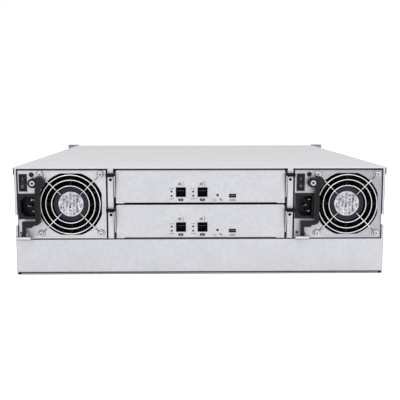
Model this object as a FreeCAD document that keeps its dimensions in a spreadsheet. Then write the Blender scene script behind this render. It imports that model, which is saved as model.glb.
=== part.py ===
"""A 3U rack disk shelf: chassis, two power modules, two controllers and sixteen drive trays.

Row frame: +Z up, +X to the right when looking at the rear panel, +Y from the rear panel
towards the drive bays. The origin is at the middle of the underside. Sizes are in millimetres.
"""
import FreeCAD
import Part
import os
import math
from types import SimpleNamespace

import Sketcher

doc = FreeCAD.newDocument("disk_shelf")

# ---------------------------------------------------------------- driving dimensions

SIZES = {
    # chassis
    "case_width": (443, "over the side walls"),
    "case_height": (130, "underside to top of cover"),
    "case_depth": (500, "rear panel to front edge"),
    "steel": (1.2, "chassis sheet"),
    "case_gap": (0.3, "clearance between a module and what carries it"),
    "cover_flange": (9, "height of the cover's folded sides"),
    "panel_bottom": (3, "lower edge of the blank rear panel"),
    "panel_gap": (1.7, "blank rear panel under the modules"),
    "hem_height": (2, "folded rear lip of the base"),
    "hem_inset": (5, "lip's set-back from each side"),
    "return_width": (2.4, "rear return flange of a side wall"),
    "notch_rise": (14.7, "rear notch of a side wall above the modules' underside"),
    "notch_height": (13.2, "rear notch of a side wall"),
    "notch_depth": (10, "rear notch of a side wall, front to back"),
    # rack ears
    "rack_width": (482.6, "over both ears"),
    "ear_height": (131.5, "ear plate"),
    "ear_thick": (2, "ear plate"),
    "ear_length": (45, "ear's leg along the side wall"),
    "ear_leg_gap": (4.5, "ear's leg above the underside and below the cover's side"),
    "slot_span": (465.1, "rack slots, side to side"),
    "slot_rise": (57.15, "rack slots, one above the other"),
    "slot_length": (10.2, "rack slot, end to end"),
    "slot_width": (6.8, "rack slot"),
    "screw_head": (6, "countersunk screw, head diameter"),
    "screw_rise": (0.8, "screw head, thickness"),
    # rear bay frame
    "module_room": (1.8, "rear modules under the cover sheet"),
    "side_room": (2.3, "power module to the side wall"),
    "post_room": (1.8, "power module to the divider post"),
    "controller_room": (2.5, "controller to the divider post"),
    "plug_room": (17.6, "rear modules to the midplane"),
    "post_width": (7.7, "divider post"),
    "post_hole": (1.75, "divider post hole, radius"),
    "hole_drop": (12, "upper hole of a post under the modules' top"),
    "ledge_width": (6, "ledge under the upper controller"),
    "ledge_setback": (16, "ledge behind the post face"),
    # power modules
    "power_sheet": (1, "power module sheet"),
    "fan_room": (0.25, "fan frame to the module's sheet above and below"),
    "fan_right": (2, "fan frame to the module's right edge"),
    "fan_size": (80, "fan frame, square"),
    "fan_depth": (25.4, "fan frame, front to back"),
    "fan_screw_inset": (4.25, "fan screws from the frame's edges"),
    "fan_corner": (3.6, "fan frame, rounded corners"),
    "fan_wall": (1.8, "fan frame at its thinnest"),
    "fan_screw_hole": (2.15, "fan screw hole, radius"),
    "opening_lip": (0.7, "fan opening beyond the bore"),
    "opening_cut": (1.9, "flats of the fan opening"),
    "motor_radius": (20.4, "motor base"),
    "motor_depth": (4.2, "motor base"),
    "strut_width": (3.4, "motor strut"),
    "hub_radius": (20.2, "rotor hub"),
    "hub_depth": (15, "rotor hub"),
    "hub_wall": (1.6, "rotor hub"),
    "tip_gap": (0.9, "rotor blades to the bore"),
    "blade_depth": (16.5, "rotor blade, front to back"),
    "blade_thick": (1.3, "rotor blade"),
    "blade_root_sweep": (7.5, "rotor blade, half sweep at the hub"),
    "blade_tip_sweep": (11.5, "rotor blade, half sweep at the tip"),
    "blade_count": (7, "rotor blades"),
    "rotor_gap": (1.4, "rotor behind the motor base"),
    "shaft_radius": (1.5, "rotor shaft"),
    "shaft_gap": (0.05, "running clearance of a shaft or pin"),
    "wire": (0.85, "guard wire, radius"),
    "guard_inset": (2.2, "outer guard ring inside the bore"),
    "guard_pitch": (6.9, "guard rings, one inside the other"),
    "guard_stand": (3.2, "guard rings in front of the panel"),
    "spoke_inner": (16, "guard spoke, inner end"),
    "eye_radius": (3.8, "guard eye loop"),
    "guard_screw_head": (2.9, "guard screw head, radius"),
    "guard_screw": (1.6, "guard screw shank, radius"),
    # power entry
    "inlet_left": (0.4, "inlet bezel from the module's left edge"),
    "inlet_rim": (2.2, "inlet bezel beyond its body"),
    "inlet_width": (24, "inlet bezel"),
    "inlet_height": (30.6, "inlet bezel"),
    "inlet_drop": (2.6, "inlet bezel under the switch bezel"),
    "inlet_room": (0.8, "inlet body to the fan frame"),
    "inlet_stand": (2, "inlet bezel in front of the panel"),
    "inlet_body_depth": (20, "inlet body behind the panel"),
    "socket_left": (3.2, "socket from the bezel's left edge"),
    "socket_width": (17, "socket"),
    "socket_height": (24, "socket"),
    "socket_chamfer": (5, "cut corners of the socket"),
    "socket_depth": (17, "socket"),
    "pin_recess": (5.5, "pins behind the mouth"),
    "pin_offset": (3.6, "line pins from the socket's right side"),
    "pin_spacing": (14, "line pins"),
    "earth_offset": (4.2, "earth pin from the line pins"),
    "pin_width": (4, "inlet pin"),
    "switch_left": (2, "switch bezel from the module's left edge"),
    "switch_drop": (4.9, "switch bezel under the module's top"),
    "switch_width": (9.6, "switch bezel"),
    "switch_height": (20.8, "switch bezel"),
    "switch_stand": (1.2, "switch bezel in front of the panel"),
    "switch_rim": (1.3, "switch bezel"),
    "rocker_gap": (0.35, "around the rocker"),
    "rocker_tilt": (7, "rocker to each side"),
    "rocker_rise": (2, "rocker face above its pivot"),
    "rocker_pivot": (1.2, "rocker pivot behind the panel"),
    "rocker_pin": (0.8, "rocker pin, radius"),
    "switch_depth": (12, "switch body behind the panel"),
    "lamp_x": (17, "status lamp"),
    "lamp_drop": (5.8, "status lamp under the module's top"),
    "lamp_radius": (2.9, "status lamp"),
    # release lever of a power module
    "lever_back": (4.9, "lever's back in front of the panel"),
    "lever_thick": (4.8, "lever plate"),
    "lever_pivot_y": (7.3, "lever pivot in front of the panel"),
    "lever_pivot_z": (5, "lever pivot above the module's underside"),
    "lever_pin": (1.2, "lever pin, radius"),
    "lever_foot": (2.4, "lever foot, radius"),
    "leg_left": (6.3, "lever leg"),
    "leg_width": (4.2, "lever leg"),
    "arm_bottom": (14.4, "lever arm"),
    "arm_top": (21.6, "lever arm"),
    "grip_left": (22.6, "lever grip"),
    "grip_right": (28.2, "lever grip"),
    "grip_bottom": (17.9, "lever grip"),
    "grip_rib": (2.2, "lever grip ribs, rise"),
    "head_x": (27, "lever head, middle"),
    "head_radius": (7.6, "lever head, over its corners"),
    "boss_radius": (5.8, "boss round the captive screw"),
    "boss_gap": (0.6, "boss in front of the panel"),
    "captive_x": (20, "captive screw"),
    "captive_drop": (15.1, "captive screw under the module's top"),
    "captive_head": (3.3, "captive screw head, radius"),
    "captive_rise": (2, "captive screw head"),
    "captive_shank": (1.5, "captive screw shank, radius"),
    "captive_length": (3, "captive screw behind the panel's face"),
    "foot_left": (0.3, "lever bracket"),
    "foot_width": (17, "lever bracket"),
    "foot_reach": (12, "lever bracket in front of the panel"),
    "foot_lip": (4.2, "lever bracket lip"),
    # controllers
    "controller_seam": (2.1, "between the two controllers"),
    "controller_sheet": (1, "controller sheet"),
    "controller_side": (22, "controller side walls"),
    "relief_rise": (0.8, "raised middle of the panel's lower edge"),
    "relief_end": (9.5, "corner left full at each end"),
    "bend_radius": (2, "rounded upper corners of the panel"),
    "fold_depth": (9, "top fold of the panel"),
    "board_rise": (5.2, "underside of the circuit board"),
    "board_thick": (1.6, "circuit board"),
    "board_margin": (5, "circuit board to the controller's sides"),
    "port_width": (11.7, "host port"),
    "port_height": (11.3, "host port"),
    "port_bottom": (7.6, "host port above the controller's underside"),
    "port_first": (-23.6, "first host port"),
    "port_pitch": (25.9, "host ports, side by side"),
    "port_wall": (0.7, "host port shell"),
    "port_depth": (24, "host port shell"),
    "port_mouth": (5, "contact blades behind the mouth"),
    "service_x": (38.3, "service port"),
    "service_z": (8.7, "service port"),
    "service_width": (8.2, "service port"),
    "service_height": (4.3, "service port"),
    "status_x": (20.3, "status lamp"),
    "status_z": (9.5, "status lamp"),
    "status_radius": (1.4, "status lamp"),
    "link_offset": (11.2, "link lamps beside a host port"),
    "link_radius": (1.1, "link lamps"),
    "link_low": (8.8, "lower link lamp"),
    "link_high": (13.9, "upper link lamp"),
    "arm_thick": (1.4, "ejector arm"),
    "arm_gap": (0.5, "between an ejector arm and the controller"),
    "eject_pivot_y": (8, "ejector pivot behind the panel"),
    "eject_pivot_z": (7, "ejector pivot above the controller's underside"),
    "eject_pin": (1.5, "ejector pin, radius"),
    "bar_z": (34.2, "finger bar above the controller's underside"),
    "bar_y": (5, "finger bar in front of the panel"),
    "bar_radius": (2.3, "finger bar"),
    "bar_room": (0.5, "finger bar to the power module"),
    # drive cage, trays and midplane
    "cage_depth": (165, "drive cage"),
    "tray_ledge": (3, "tray ledge, width"),
    "runner": (53.9, "tray runner, half width"),
    "drive_width": (101.6, "disk drive"),
    "drive_length": (147, "disk drive"),
    "drive_height": (26.1, "disk drive"),
    "drive_setback": (6, "drive behind the chassis front"),
    "drive_rise": (1.2, "drive above the bay floor"),
    "rail_thick": (1.6, "tray rail"),
    "rail_height": (24, "tray rail"),
    "rail_length": (150, "tray rail"),
    "bezel_gap": (0.6, "between tray bezels"),
    "bezel_depth": (8.7, "tray bezel"),
    "bezel_rim": (4, "tray bezel rim"),
    "bezel_floor": (2.2, "tray bezel floor"),
    "latch_reach": (12, "latch face in front of the chassis"),
    "latch_pivot_x": (46, "latch pivot from the tray's middle"),
    "latch_pivot_y": (7.2, "latch pivot in front of the chassis"),
    "latch_barrel": (3.2, "latch barrel, radius"),
    "latch_pin": (1.5, "latch pin, radius"),
    "latch_length": (92, "latch, pivot to tip"),
    "latch_thick": (3.4, "latch plate"),
    "board_gap": (0.3, "connector to connector"),
    "midplane_thick": (2.4, "midplane board"),
    "midplane_margin": (2, "midplane board to the chassis walls"),
    "window_width": (45, "air window in the midplane"),
    "window_height": (9, "air window in the midplane"),
    "drive_plug_width": (42, "drive connector"),
    "drive_plug_height": (6, "drive connector"),
    "module_plug_width": (64, "rear module connector"),
    "module_plug_height": (10, "rear module connector"),
}


class Size:
    """A length that carries both its number and the sheet expression it comes from."""

    def __init__(self, number, text):
        self.number = float(number)
        self.text = text

    def _join(self, sign, other, flip=False):
        other = as_size(other)
        left, right = (other, self) if flip else (self, other)
        results = {
            "+": lambda: left.number + right.number,
            "-": lambda: left.number - right.number,
            "*": lambda: left.number * right.number,
            "/": lambda: left.number / right.number,
        }
        return Size(results[sign](), f"({left.text} {sign} {right.text})")

    def __add__(self, other):
        return self._join("+", other)

    def __radd__(self, other):
        return self._join("+", other, flip=True)

    def __sub__(self, other):
        return self._join("-", other)

    def __rsub__(self, other):
        return self._join("-", other, flip=True)

    def __mul__(self, other):
        return self._join("*", other)

    def __rmul__(self, other):
        return self._join("*", other, flip=True)

    def __truediv__(self, other):
        return self._join("/", other)

    def __neg__(self):
        return self._join("*", -1)


def as_size(value):
    return value if isinstance(value, Size) else Size(value, repr(float(value)))


sheet = doc.addObject("Spreadsheet::Sheet", "sizes")
for row, (alias, (number, note)) in enumerate(SIZES.items(), start=1):
    sheet.set(f"A{row}", alias)
    sheet.set(f"B{row}", str(number))
    sheet.setAlias(f"B{row}", alias)
    sheet.set(f"C{row}", note)
doc.recompute()
g = SimpleNamespace(**{alias: Size(sheet.get(alias), f"sizes.{alias}") for alias in SIZES})

# ---------------------------------------------------------------- drawing helpers

PLANES = {"x": ("YZ_Plane", 1), "y": ("XZ_Plane", -1), "z": ("XY_Plane", 1)}
nodes = []


def bind(thing, prop, value):
    """Set a property from a size, and tie it to the sheet where the size comes from there."""
    value = as_size(value)
    if "sizes." in value.text:
        thing.setExpression(prop, value.text)
    elif "." in prop:
        placement = thing.Placement
        setattr(placement.Base, prop.split(".")[-1], value.number)
        thing.Placement = placement
    else:
        setattr(thing, prop, value.number)


def place(thing, x=0, y=0, z=0):
    for axis, value in zip("xyz", (x, y, z)):
        if as_size(value).number or isinstance(value, Size):
            bind(thing, f"Placement.Base.{axis}", value)


def node(label, thing, x=0, y=0, z=0):
    """Name a finished sub-part and put it in its place."""
    thing.Label = label
    place(thing, x, y, z)
    nodes.append(thing)
    return thing


def group(label, things, x=0, y=0, z=0):
    """Keep several separate solids as one sub-part."""
    compound = doc.addObject("Part::Compound", label)
    compound.Links = things
    return node(label, compound, x, y, z)


def rect(left, bottom, right, top):
    return [(left, bottom), (right, bottom), (right, top), (left, top)]


def disc(across, up, radius):
    return ("disc", across, up, radius)


def slot(across, up, length, width):
    return ("slot", across, up, length, width)


def flat_disc(across, up, radius, flat):
    """A circle cut off square at four sides."""
    return ("flat_disc", across, up, radius, flat)


class Drawing:
    """A sketch square to one axis of a body, with every size in it bound to the sheet."""

    def __init__(self, body, axis, start):
        role, self.sign = PLANES[axis]
        self.sketch = body.newObject("Sketcher::SketchObject", "sketch")
        plane = next(f for f in body.Origin.OriginFeatures if f.Role == role)
        self.sketch.AttachmentSupport = [(plane, "")]
        self.sketch.MapMode = "FlatFace"
        start = as_size(start)
        if "sizes." in start.text:
            self.sketch.setExpression("AttachmentOffset.Base.z", (start * self.sign).text)
        else:
            offset = FreeCAD.Placement()
            offset.Base.z = start.number * self.sign
            self.sketch.AttachmentOffset = offset

    def fix(self, kind, geometry, point, value):
        value = as_size(value)
        index = self.sketch.addConstraint(
            Sketcher.Constraint(kind, -1, 1, geometry, point, value.number))
        if "sizes." in value.text:
            self.sketch.setExpression(f"Constraints[{index}]", value.text)

    def fix_radius(self, geometry, value):
        value = as_size(value)
        index = self.sketch.addConstraint(
            Sketcher.Constraint("Radius", geometry, value.number))
        if "sizes." in value.text:
            self.sketch.setExpression(f"Constraints[{index}]", value.text)

    def join(self, first, first_end, second, second_end):
        self.sketch.addConstraint(
            Sketcher.Constraint("Coincident", first, first_end, second, second_end))

    def polygon(self, corners):
        spots = [FreeCAD.Vector(as_size(a).number, as_size(b).number, 0) for a, b in corners]
        lines = [self.sketch.addGeometry(Part.LineSegment(spot, spots[(i + 1) % len(spots)]))
                 for i, spot in enumerate(spots)]
        for i, line in enumerate(lines):
            self.join(line, 2, lines[(i + 1) % len(lines)], 1)
        for line, (across, up) in zip(lines, corners):
            self.fix("DistanceX", line, 1, across)
            self.fix("DistanceY", line, 1, up)

    def disc(self, across, up, radius):
        centre = FreeCAD.Vector(as_size(across).number, as_size(up).number, 0)
        circle = Part.Circle(centre, FreeCAD.Vector(0, 0, 1), as_size(radius).number)
        index = self.sketch.addGeometry(circle)
        self.fix("DistanceX", index, 3, across)
        self.fix("DistanceY", index, 3, up)
        self.fix_radius(index, radius)

    def slot(self, across, up, length, width):
        across, up = as_size(across), as_size(up)
        radius = as_size(width) / 2
        half = as_size(length) / 2 - radius
        ends = []
        for side in (-1, 1):
            centre = FreeCAD.Vector(across.number + side * half.number, up.number, 0)
            start = math.pi / 2 if side < 0 else -math.pi / 2
            circle = Part.Circle(centre, FreeCAD.Vector(0, 0, 1), radius.number)
            arc = self.sketch.addGeometry(Part.ArcOfCircle(circle, start, start + math.pi))
            self.fix("DistanceX", arc, 3, across + half * side)
            self.fix("DistanceY", arc, 3, up)
            ends.append(arc)
        left, right = ends
        low = up.number - radius.number
        high = up.number + radius.number
        west, east = across.number - half.number, across.number + half.number
        bottom = self.sketch.addGeometry(
            Part.LineSegment(FreeCAD.Vector(west, low, 0), FreeCAD.Vector(east, low, 0)))
        top = self.sketch.addGeometry(
            Part.LineSegment(FreeCAD.Vector(east, high, 0), FreeCAD.Vector(west, high, 0)))
        for a, b in ((left, bottom), (bottom, right), (right, top), (top, left)):
            self.sketch.addConstraint(Sketcher.Constraint("Tangent", a, 2, b, 1))
        self.fix_radius(left, radius)

    def flat_disc(self, across, up, radius, flat):
        across, up, radius, flat = map(as_size, (across, up, radius, flat))
        half_angle = math.asin(flat.number / radius.number)
        lean = math.pi / 2 - half_angle
        arcs = []
        for quarter in range(4):
            start = quarter * math.pi / 2 + lean
            circle = Part.Circle(FreeCAD.Vector(across.number, up.number, 0),
                                 FreeCAD.Vector(0, 0, 1), radius.number)
            end = start + math.pi / 2 - 2 * lean
            arcs.append(self.sketch.addGeometry(Part.ArcOfCircle(circle, start, end)))
        for arc in arcs:
            self.fix("DistanceX", arc, 3, across)
            self.fix("DistanceY", arc, 3, up)
            self.fix_radius(arc, radius)
        sides = (("DistanceY", up + flat), ("DistanceX", across - flat),
                 ("DistanceY", up - flat), ("DistanceX", across + flat))
        for i, (kind, level) in enumerate(sides):
            before, after = arcs[i], arcs[(i + 1) % 4]
            line = self.sketch.addGeometry(Part.LineSegment(
                self.sketch.getPoint(before, 2), self.sketch.getPoint(after, 1)))
            self.join(before, 2, line, 1)
            self.join(line, 2, after, 1)
            self.fix(kind, line, 1, level)
            self.fix(kind, line, 2, level)

    def add(self, loop):
        if isinstance(loop, tuple):
            getattr(self, loop[0])(*loop[1:])
        else:
            self.polygon(loop)


def new_body(name):
    return doc.addObject("PartDesign::Body", name)


def extrude(body, kind, axis, start, length, loops):
    """Pad or pocket closed loops from start to start + length along +axis."""
    drawing = Drawing(body, axis, start)
    for loop in loops:
        drawing.add(loop)
    feature = body.newObject(f"PartDesign::{kind}", kind.lower())
    feature.Profile = drawing.sketch
    bind(feature, "Length", length)
    along_normal = kind == "Pad"
    feature.Reversed = along_normal != (drawing.sign > 0)
    drawing.sketch.Visibility = False
    return feature


def pad(body, axis, start, length, *loops):
    return extrude(body, "Pad", axis, start, length, loops)


def cut(body, axis, start, length, *loops):
    return extrude(body, "Pocket", axis, start, length, loops)


def solid(name, axis, start, length, *loops):
    """A body made of one pad."""
    body = new_body(name)
    pad(body, axis, start, length, *loops)
    return body


def revolve(body, axis, loop, kind="Revolution"):
    """Turn a loop, drawn across and along an axis, all the way round that axis."""
    plane_axis = {"y": "z", "z": "y", "x": "z"}[axis]
    drawing = Drawing(body, plane_axis, 0)
    drawing.add(loop)
    feature = body.newObject(f"PartDesign::{kind}", kind.lower())
    feature.Profile = drawing.sketch
    sketch_axis = {"y": "V_Axis", "z": "V_Axis", "x": "H_Axis"}[axis]
    feature.ReferenceAxis = (drawing.sketch, [sketch_axis])
    feature.Angle = 360
    return feature


def dress(body, kind, size, test):
    """Fillet or chamfer the edges that a test picks."""
    doc.recompute()
    base = body.Tip
    names = [f"Edge{i + 1}" for i, edge in enumerate(base.Shape.Edges) if test(edge)]
    feature = body.newObject(f"PartDesign::{kind}", kind.lower())
    feature.Base = (base, names)
    bind(feature, "Radius" if kind == "Fillet" else "Size", size)
    return feature


def runs_along(edge, axis):
    box = edge.BoundBox
    spans = {"x": box.XLength, "y": box.YLength, "z": box.ZLength}
    across = [span for name, span in spans.items() if name != axis]
    return spans[axis] > 1e-6 and max(across) < 1e-6


def at(value, target):
    return abs(value - as_size(target).number) < 1e-4


def polar(body, features, axis_role, count):
    pattern = body.newObject("PartDesign::PolarPattern", "pattern")
    pattern.Originals = features
    pattern.Axis = (next(f for f in body.Origin.OriginFeatures if f.Role == axis_role), [""])
    pattern.Angle = 360
    count = as_size(count)
    if "sizes." in count.text:
        pattern.setExpression("Occurrences", count.text)
    else:
        pattern.Occurrences = int(count.number)
    body.Tip = pattern
    return pattern


# ---------------------------------------------------------------- places worked out once

half_width = g.case_width / 2
rear = -g.case_depth / 2
front = g.case_depth / 2
inner_half = half_width - g.steel
cover_under = g.case_height - g.steel
module_top = cover_under - g.module_room
module_height = g.fan_size + (g.power_sheet + g.fan_room) * 2
module_bottom = module_top - module_height
module_depth = g.case_depth - g.cage_depth - g.midplane_thick - g.plug_room
module_end = rear + module_depth
shelf_top = module_bottom - g.case_gap
controller_pitch = (module_height + g.controller_seam) / 2
controller_height = controller_pitch - g.controller_seam
entry_left = g.inlet_left + g.inlet_rim
entry_right = g.inlet_left + g.inlet_width - g.inlet_rim
fan_x = entry_right + g.inlet_room + g.fan_size / 2
fan_z = module_height / 2
power_width = fan_x + g.fan_size / 2 + g.fan_right
power_inner = inner_half - g.side_room - power_width
post_inner = power_inner - g.post_room - g.post_width
half_panel = post_inner - g.controller_room
cage_back = front - g.cage_depth
midplane_back = cage_back - g.midplane_thick
bay_pitch = (inner_half * 2 - g.steel) / 4
cage_floor = g.steel * 2
cage_ceiling = cover_under - g.steel
row_pitch = (cage_ceiling - cage_floor) / 4


def bay_x(column):
    return bay_pitch * (column - 1.5)


def row_z(row):
    return cage_floor + row_pitch * row


# ---------------------------------------------------------------- chassis

def make_tub():
    """Base, side walls, blank lower rear panel and the folded lip, welded into one shell."""
    body = new_body("chassis_tub_body")
    panel_top = module_bottom - g.panel_gap
    notch_bottom = module_bottom + g.notch_rise
    pad(body, "z", 0, g.steel, rect(-half_width, rear, half_width, front))
    for side in (-1, 1):
        low, high = sorted((half_width * side, inner_half * side), key=lambda s: s.number)
        pad(body, "x", low, g.steel, rect(rear, 0, front, cover_under))
        edge = half_width - g.return_width
        low, high = sorted((half_width * side, edge * side), key=lambda s: s.number)
        pad(body, "x", low, g.return_width,
            rect(rear, panel_top, rear + g.steel, cover_under))
    pad(body, "y", rear, g.steel,
        rect(-half_width, g.panel_bottom, half_width, panel_top))
    pad(body, "z", 0, g.hem_height,
        rect(-half_width + g.hem_inset, rear, half_width - g.hem_inset, rear + g.steel))
    for side in (-1, 1):
        low = half_width - g.return_width if side > 0 else -half_width
        cut(body, "x", low, g.return_width,
            rect(rear, notch_bottom, rear + g.notch_depth, notch_bottom + g.notch_height))
        relief = half_width - g.hem_inset if side > 0 else -half_width
        cut(body, "x", relief, g.hem_inset,
            rect(rear, 0, rear + g.steel, g.panel_bottom))
    return body


def make_cover():
    """Flat sheet with both sides folded down over the walls."""
    body = new_body("top_cover_body")
    outer = half_width + g.steel
    flange_bottom = g.case_height - g.cover_flange
    pad(body, "y", rear, g.case_depth - g.ear_thick,
        [(-outer, flange_bottom), (-half_width, flange_bottom), (-half_width, cover_under),
         (half_width, cover_under), (half_width, flange_bottom), (outer, flange_bottom),
         (outer, g.case_height), (-outer, g.case_height)])
    return body


def make_ear(side):
    """Angle bracket with two rack slots; its leg is screwed to the side wall."""
    name = "left" if side < 0 else "right"
    body = new_body(f"{name}_ear")
    tip = g.rack_width / 2
    leg = half_width + g.ear_thick
    plate = sorted((half_width * side, tip * side), key=lambda s: s.number)
    pad(body, "y", front - g.ear_thick, g.ear_thick,
        rect(plate[0], 0, plate[1], g.ear_height))
    low = half_width if side > 0 else -leg
    leg_height = g.case_height - g.cover_flange - g.ear_leg_gap * 2
    pad(body, "x", low, g.ear_thick,
        rect(front - g.ear_length, g.ear_leg_gap, front, g.ear_leg_gap + leg_height))
    middle = g.ear_height / 2
    cut(body, "y", front - g.ear_thick, g.ear_thick,
        *[slot(g.slot_span / 2 * side, middle + g.slot_rise / 2 * up,
               g.slot_length, g.slot_width) for up in (-1, 1)])
    screws = []
    for step in (-1, 0, 1):
        start = leg if side > 0 else -leg - g.screw_rise
        screw = solid(f"{name}_ear_screw", "x", start, g.screw_rise,
                      disc(front - g.ear_length + g.ear_length / 3,
                           g.ear_leg_gap + leg_height / 2 + leg_height / 3 * step,
                           g.screw_head / 2))
        screws.append(screw)
    return [body] + screws


def make_bay_frame():
    """Shelf under the rear modules and the two hollow posts that part them."""
    shelf = solid("bay_shelf", "z", shelf_top - g.steel, g.steel,
                  rect(-inner_half, rear + g.steel, inner_half, module_end))
    pieces = [shelf]
    for side in (-1, 1):
        body = new_body("post")
        inner, outer = post_inner, post_inner + g.post_width
        ring = [(inner, rear), (outer, rear), (outer, module_end),
                (outer - g.steel, module_end), (outer - g.steel, rear + g.steel),
                (inner + g.steel, rear + g.steel), (inner + g.steel, module_end),
                (inner, module_end)]
        pad(body, "z", shelf_top, cover_under - shelf_top,
            [(across * side, along) for across, along in ring])
        ledge_top = module_bottom + controller_pitch - g.case_gap
        ledge = sorted((inner * side, (inner - g.ledge_width) * side), key=lambda s: s.number)
        pad(body, "z", ledge_top - g.steel, g.steel,
            rect(ledge[0], rear + g.ledge_setback, ledge[1], module_end))
        centre = (inner + g.post_width / 2) * side
        upper_hole = module_top - g.hole_drop
        cut(body, "y", rear, g.steel, disc(centre, upper_hole, g.post_hole),
            disc(centre, upper_hole - controller_pitch, g.post_hole))
        pieces.append(body)
    return pieces


def make_cage():
    """Floor and ceiling sheets parted by five walls, with ledges that carry the trays."""
    pieces = [solid("cage_sheet", "z", level, g.steel,
                    rect(-inner_half, cage_back, inner_half, front))
              for level in (g.steel, cage_ceiling)]
    for i in range(5):
        left = bay_pitch * (i - 2) - g.steel / 2
        right = left + g.steel
        pieces.append(solid("cage_wall", "y", cage_back, g.cage_depth,
                            rect(left, cage_floor, right, cage_ceiling)))
        sides = []
        if i > 0:
            sides.append((left - g.tray_ledge, left))
        if i < 4:
            sides.append((right, right + g.tray_ledge))
        for row in (1, 2, 3):
            for near, far in sides:
                pieces.append(solid("cage_ledge", "y", cage_back, g.cage_depth,
                                    rect(near, row_z(row) - g.steel, far, row_z(row))))
    return pieces


def make_midplane():
    """Board behind the cage, with a connector for each drive and each rear module."""
    body = new_body("midplane")
    edge = inner_half - g.midplane_margin
    floor = g.steel + g.midplane_margin
    pad(body, "y", midplane_back, g.midplane_thick,
        rect(-edge, floor, edge, cover_under - g.midplane_margin))
    for column in range(4):
        middle = bay_x(column)
        levels = [row_z(row) - g.steel / 2 for row in (1, 2, 3)]
        cut(body, "y", midplane_back, g.midplane_thick,
            *[rect(middle - g.window_width / 2, level - g.window_height / 2,
                   middle + g.window_width / 2, level + g.window_height / 2)
              for level in levels])
    pieces = [body]
    drive_end = front - g.drive_setback - g.drive_length
    reach = drive_end - g.board_gap - cage_back
    for row in range(4):
        for column in range(4):
            middle = bay_x(column)
            level = row_z(row) + g.drive_rise + g.drive_height / 2
            pieces.append(solid("drive_plug", "y", cage_back, reach, rect(
                middle - g.drive_plug_width / 2, level - g.drive_plug_height / 2,
                middle + g.drive_plug_width / 2, level + g.drive_plug_height / 2)))
    module_reach = midplane_back - module_end - g.board_gap
    power_middle = power_inner + power_width / 2
    plugs = [(-power_middle, module_bottom), (power_middle, module_bottom),
             (0, module_bottom), (0, module_bottom + controller_pitch)]
    for middle, level in plugs:
        low = level + g.board_rise
        pieces.append(solid("module_plug", "y", module_end + g.board_gap, module_reach, rect(
            middle - g.module_plug_width / 2, low,
            middle + g.module_plug_width / 2, low + g.module_plug_height)))
    return pieces


node("chassis_tub", make_tub())
node("top_cover", make_cover())
group("rack_ears", make_ear(-1) + make_ear(1))
group("rear_bay_frame", make_bay_frame())
group("drive_cage", make_cage())
group("midplane_board", make_midplane())

# ---------------------------------------------------------------- power modules
# Drawn from the lower left corner of the rear panel, +Y going into the module.

switch_bottom = module_height - g.switch_drop - g.switch_height
inlet_bottom = switch_bottom - g.inlet_drop - g.inlet_height
entry_bottom = inlet_bottom + g.inlet_rim
entry_top = inlet_bottom + g.inlet_height - g.inlet_rim
lamp_z = module_height - g.lamp_drop
captive_z = module_height - g.captive_drop
switch_x = g.switch_left + g.switch_width / 2
switch_z = switch_bottom + g.switch_height / 2
well_half = g.switch_height / 2 - g.switch_rim
well_side = g.switch_width / 2 - g.switch_rim
panel_hole = g.guard_screw + g.rocker_gap / 2
fan_front = g.power_sheet
fan_pitch = g.fan_size - g.fan_screw_inset * 2
fan_bore = g.fan_size / 2 - g.fan_wall
blade_tip = fan_bore - g.tip_gap
eye_y = g.wire * -1.05
spoke_y = g.wire * 1.7 - g.guard_stand
guard_diagonal = fan_pitch / 2 * math.sqrt(2)


def fan_corners(across=0, up=0):
    half = fan_pitch / 2
    return [(half * a + across, half * b + up) for a in (-1, 1) for b in (-1, 1)]


def make_power_panel():
    """Rear panel of the module, pierced for the fan, the power entry and the captive screw."""
    panel = new_body("power_panel")
    skin = g.power_sheet
    opening = fan_bore + g.opening_lip
    pad(panel, "y", 0, skin, rect(0, 0, power_width, module_height))
    cut(panel, "y", 0, skin, flat_disc(fan_x, fan_z, opening, opening - g.opening_cut))
    small = g.captive_shank
    cut(panel, "y", 0, skin,
        rect(entry_left, entry_bottom, entry_right, entry_top),
        rect(switch_x - well_side, switch_z - well_half, switch_x + well_side,
             switch_z + well_half),
        disc(g.lamp_x, lamp_z, g.lamp_radius - g.rocker_gap),
        disc(g.captive_x, captive_z, small + g.rocker_gap),
        disc(small * 2, g.lever_pivot_z + small, small),
        *[disc(across, up, panel_hole) for across, up in fan_corners(fan_x, fan_z)])
    return panel


def make_lever_bracket():
    """Folded bracket on the panel, with two ears and the pin of the release lever."""
    bracket = new_body("lever_bracket")
    reach, lip = g.foot_reach, g.power_sheet
    left, right = g.foot_left, g.foot_left + g.foot_width
    pad(bracket, "z", 0, lip, rect(left, -reach, right, 0))
    pad(bracket, "y", -reach, lip, rect(left, 0, right, g.foot_lip))
    ear_top = g.lever_pivot_z + g.lever_foot + g.case_gap
    back = g.lever_pivot_y - g.lever_foot - g.case_gap
    for start in (g.leg_left - g.case_gap - lip, g.leg_left + g.leg_width + g.case_gap):
        pad(bracket, "x", start, lip, rect(-reach + lip / 2, lip / 2, -back, ear_top))
    pad(bracket, "x", g.leg_left - g.case_gap - lip / 2, g.leg_width + g.case_gap * 2 + lip,
        disc(-g.lever_pivot_y, g.lever_pivot_z, g.lever_pin))
    return bracket


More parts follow.
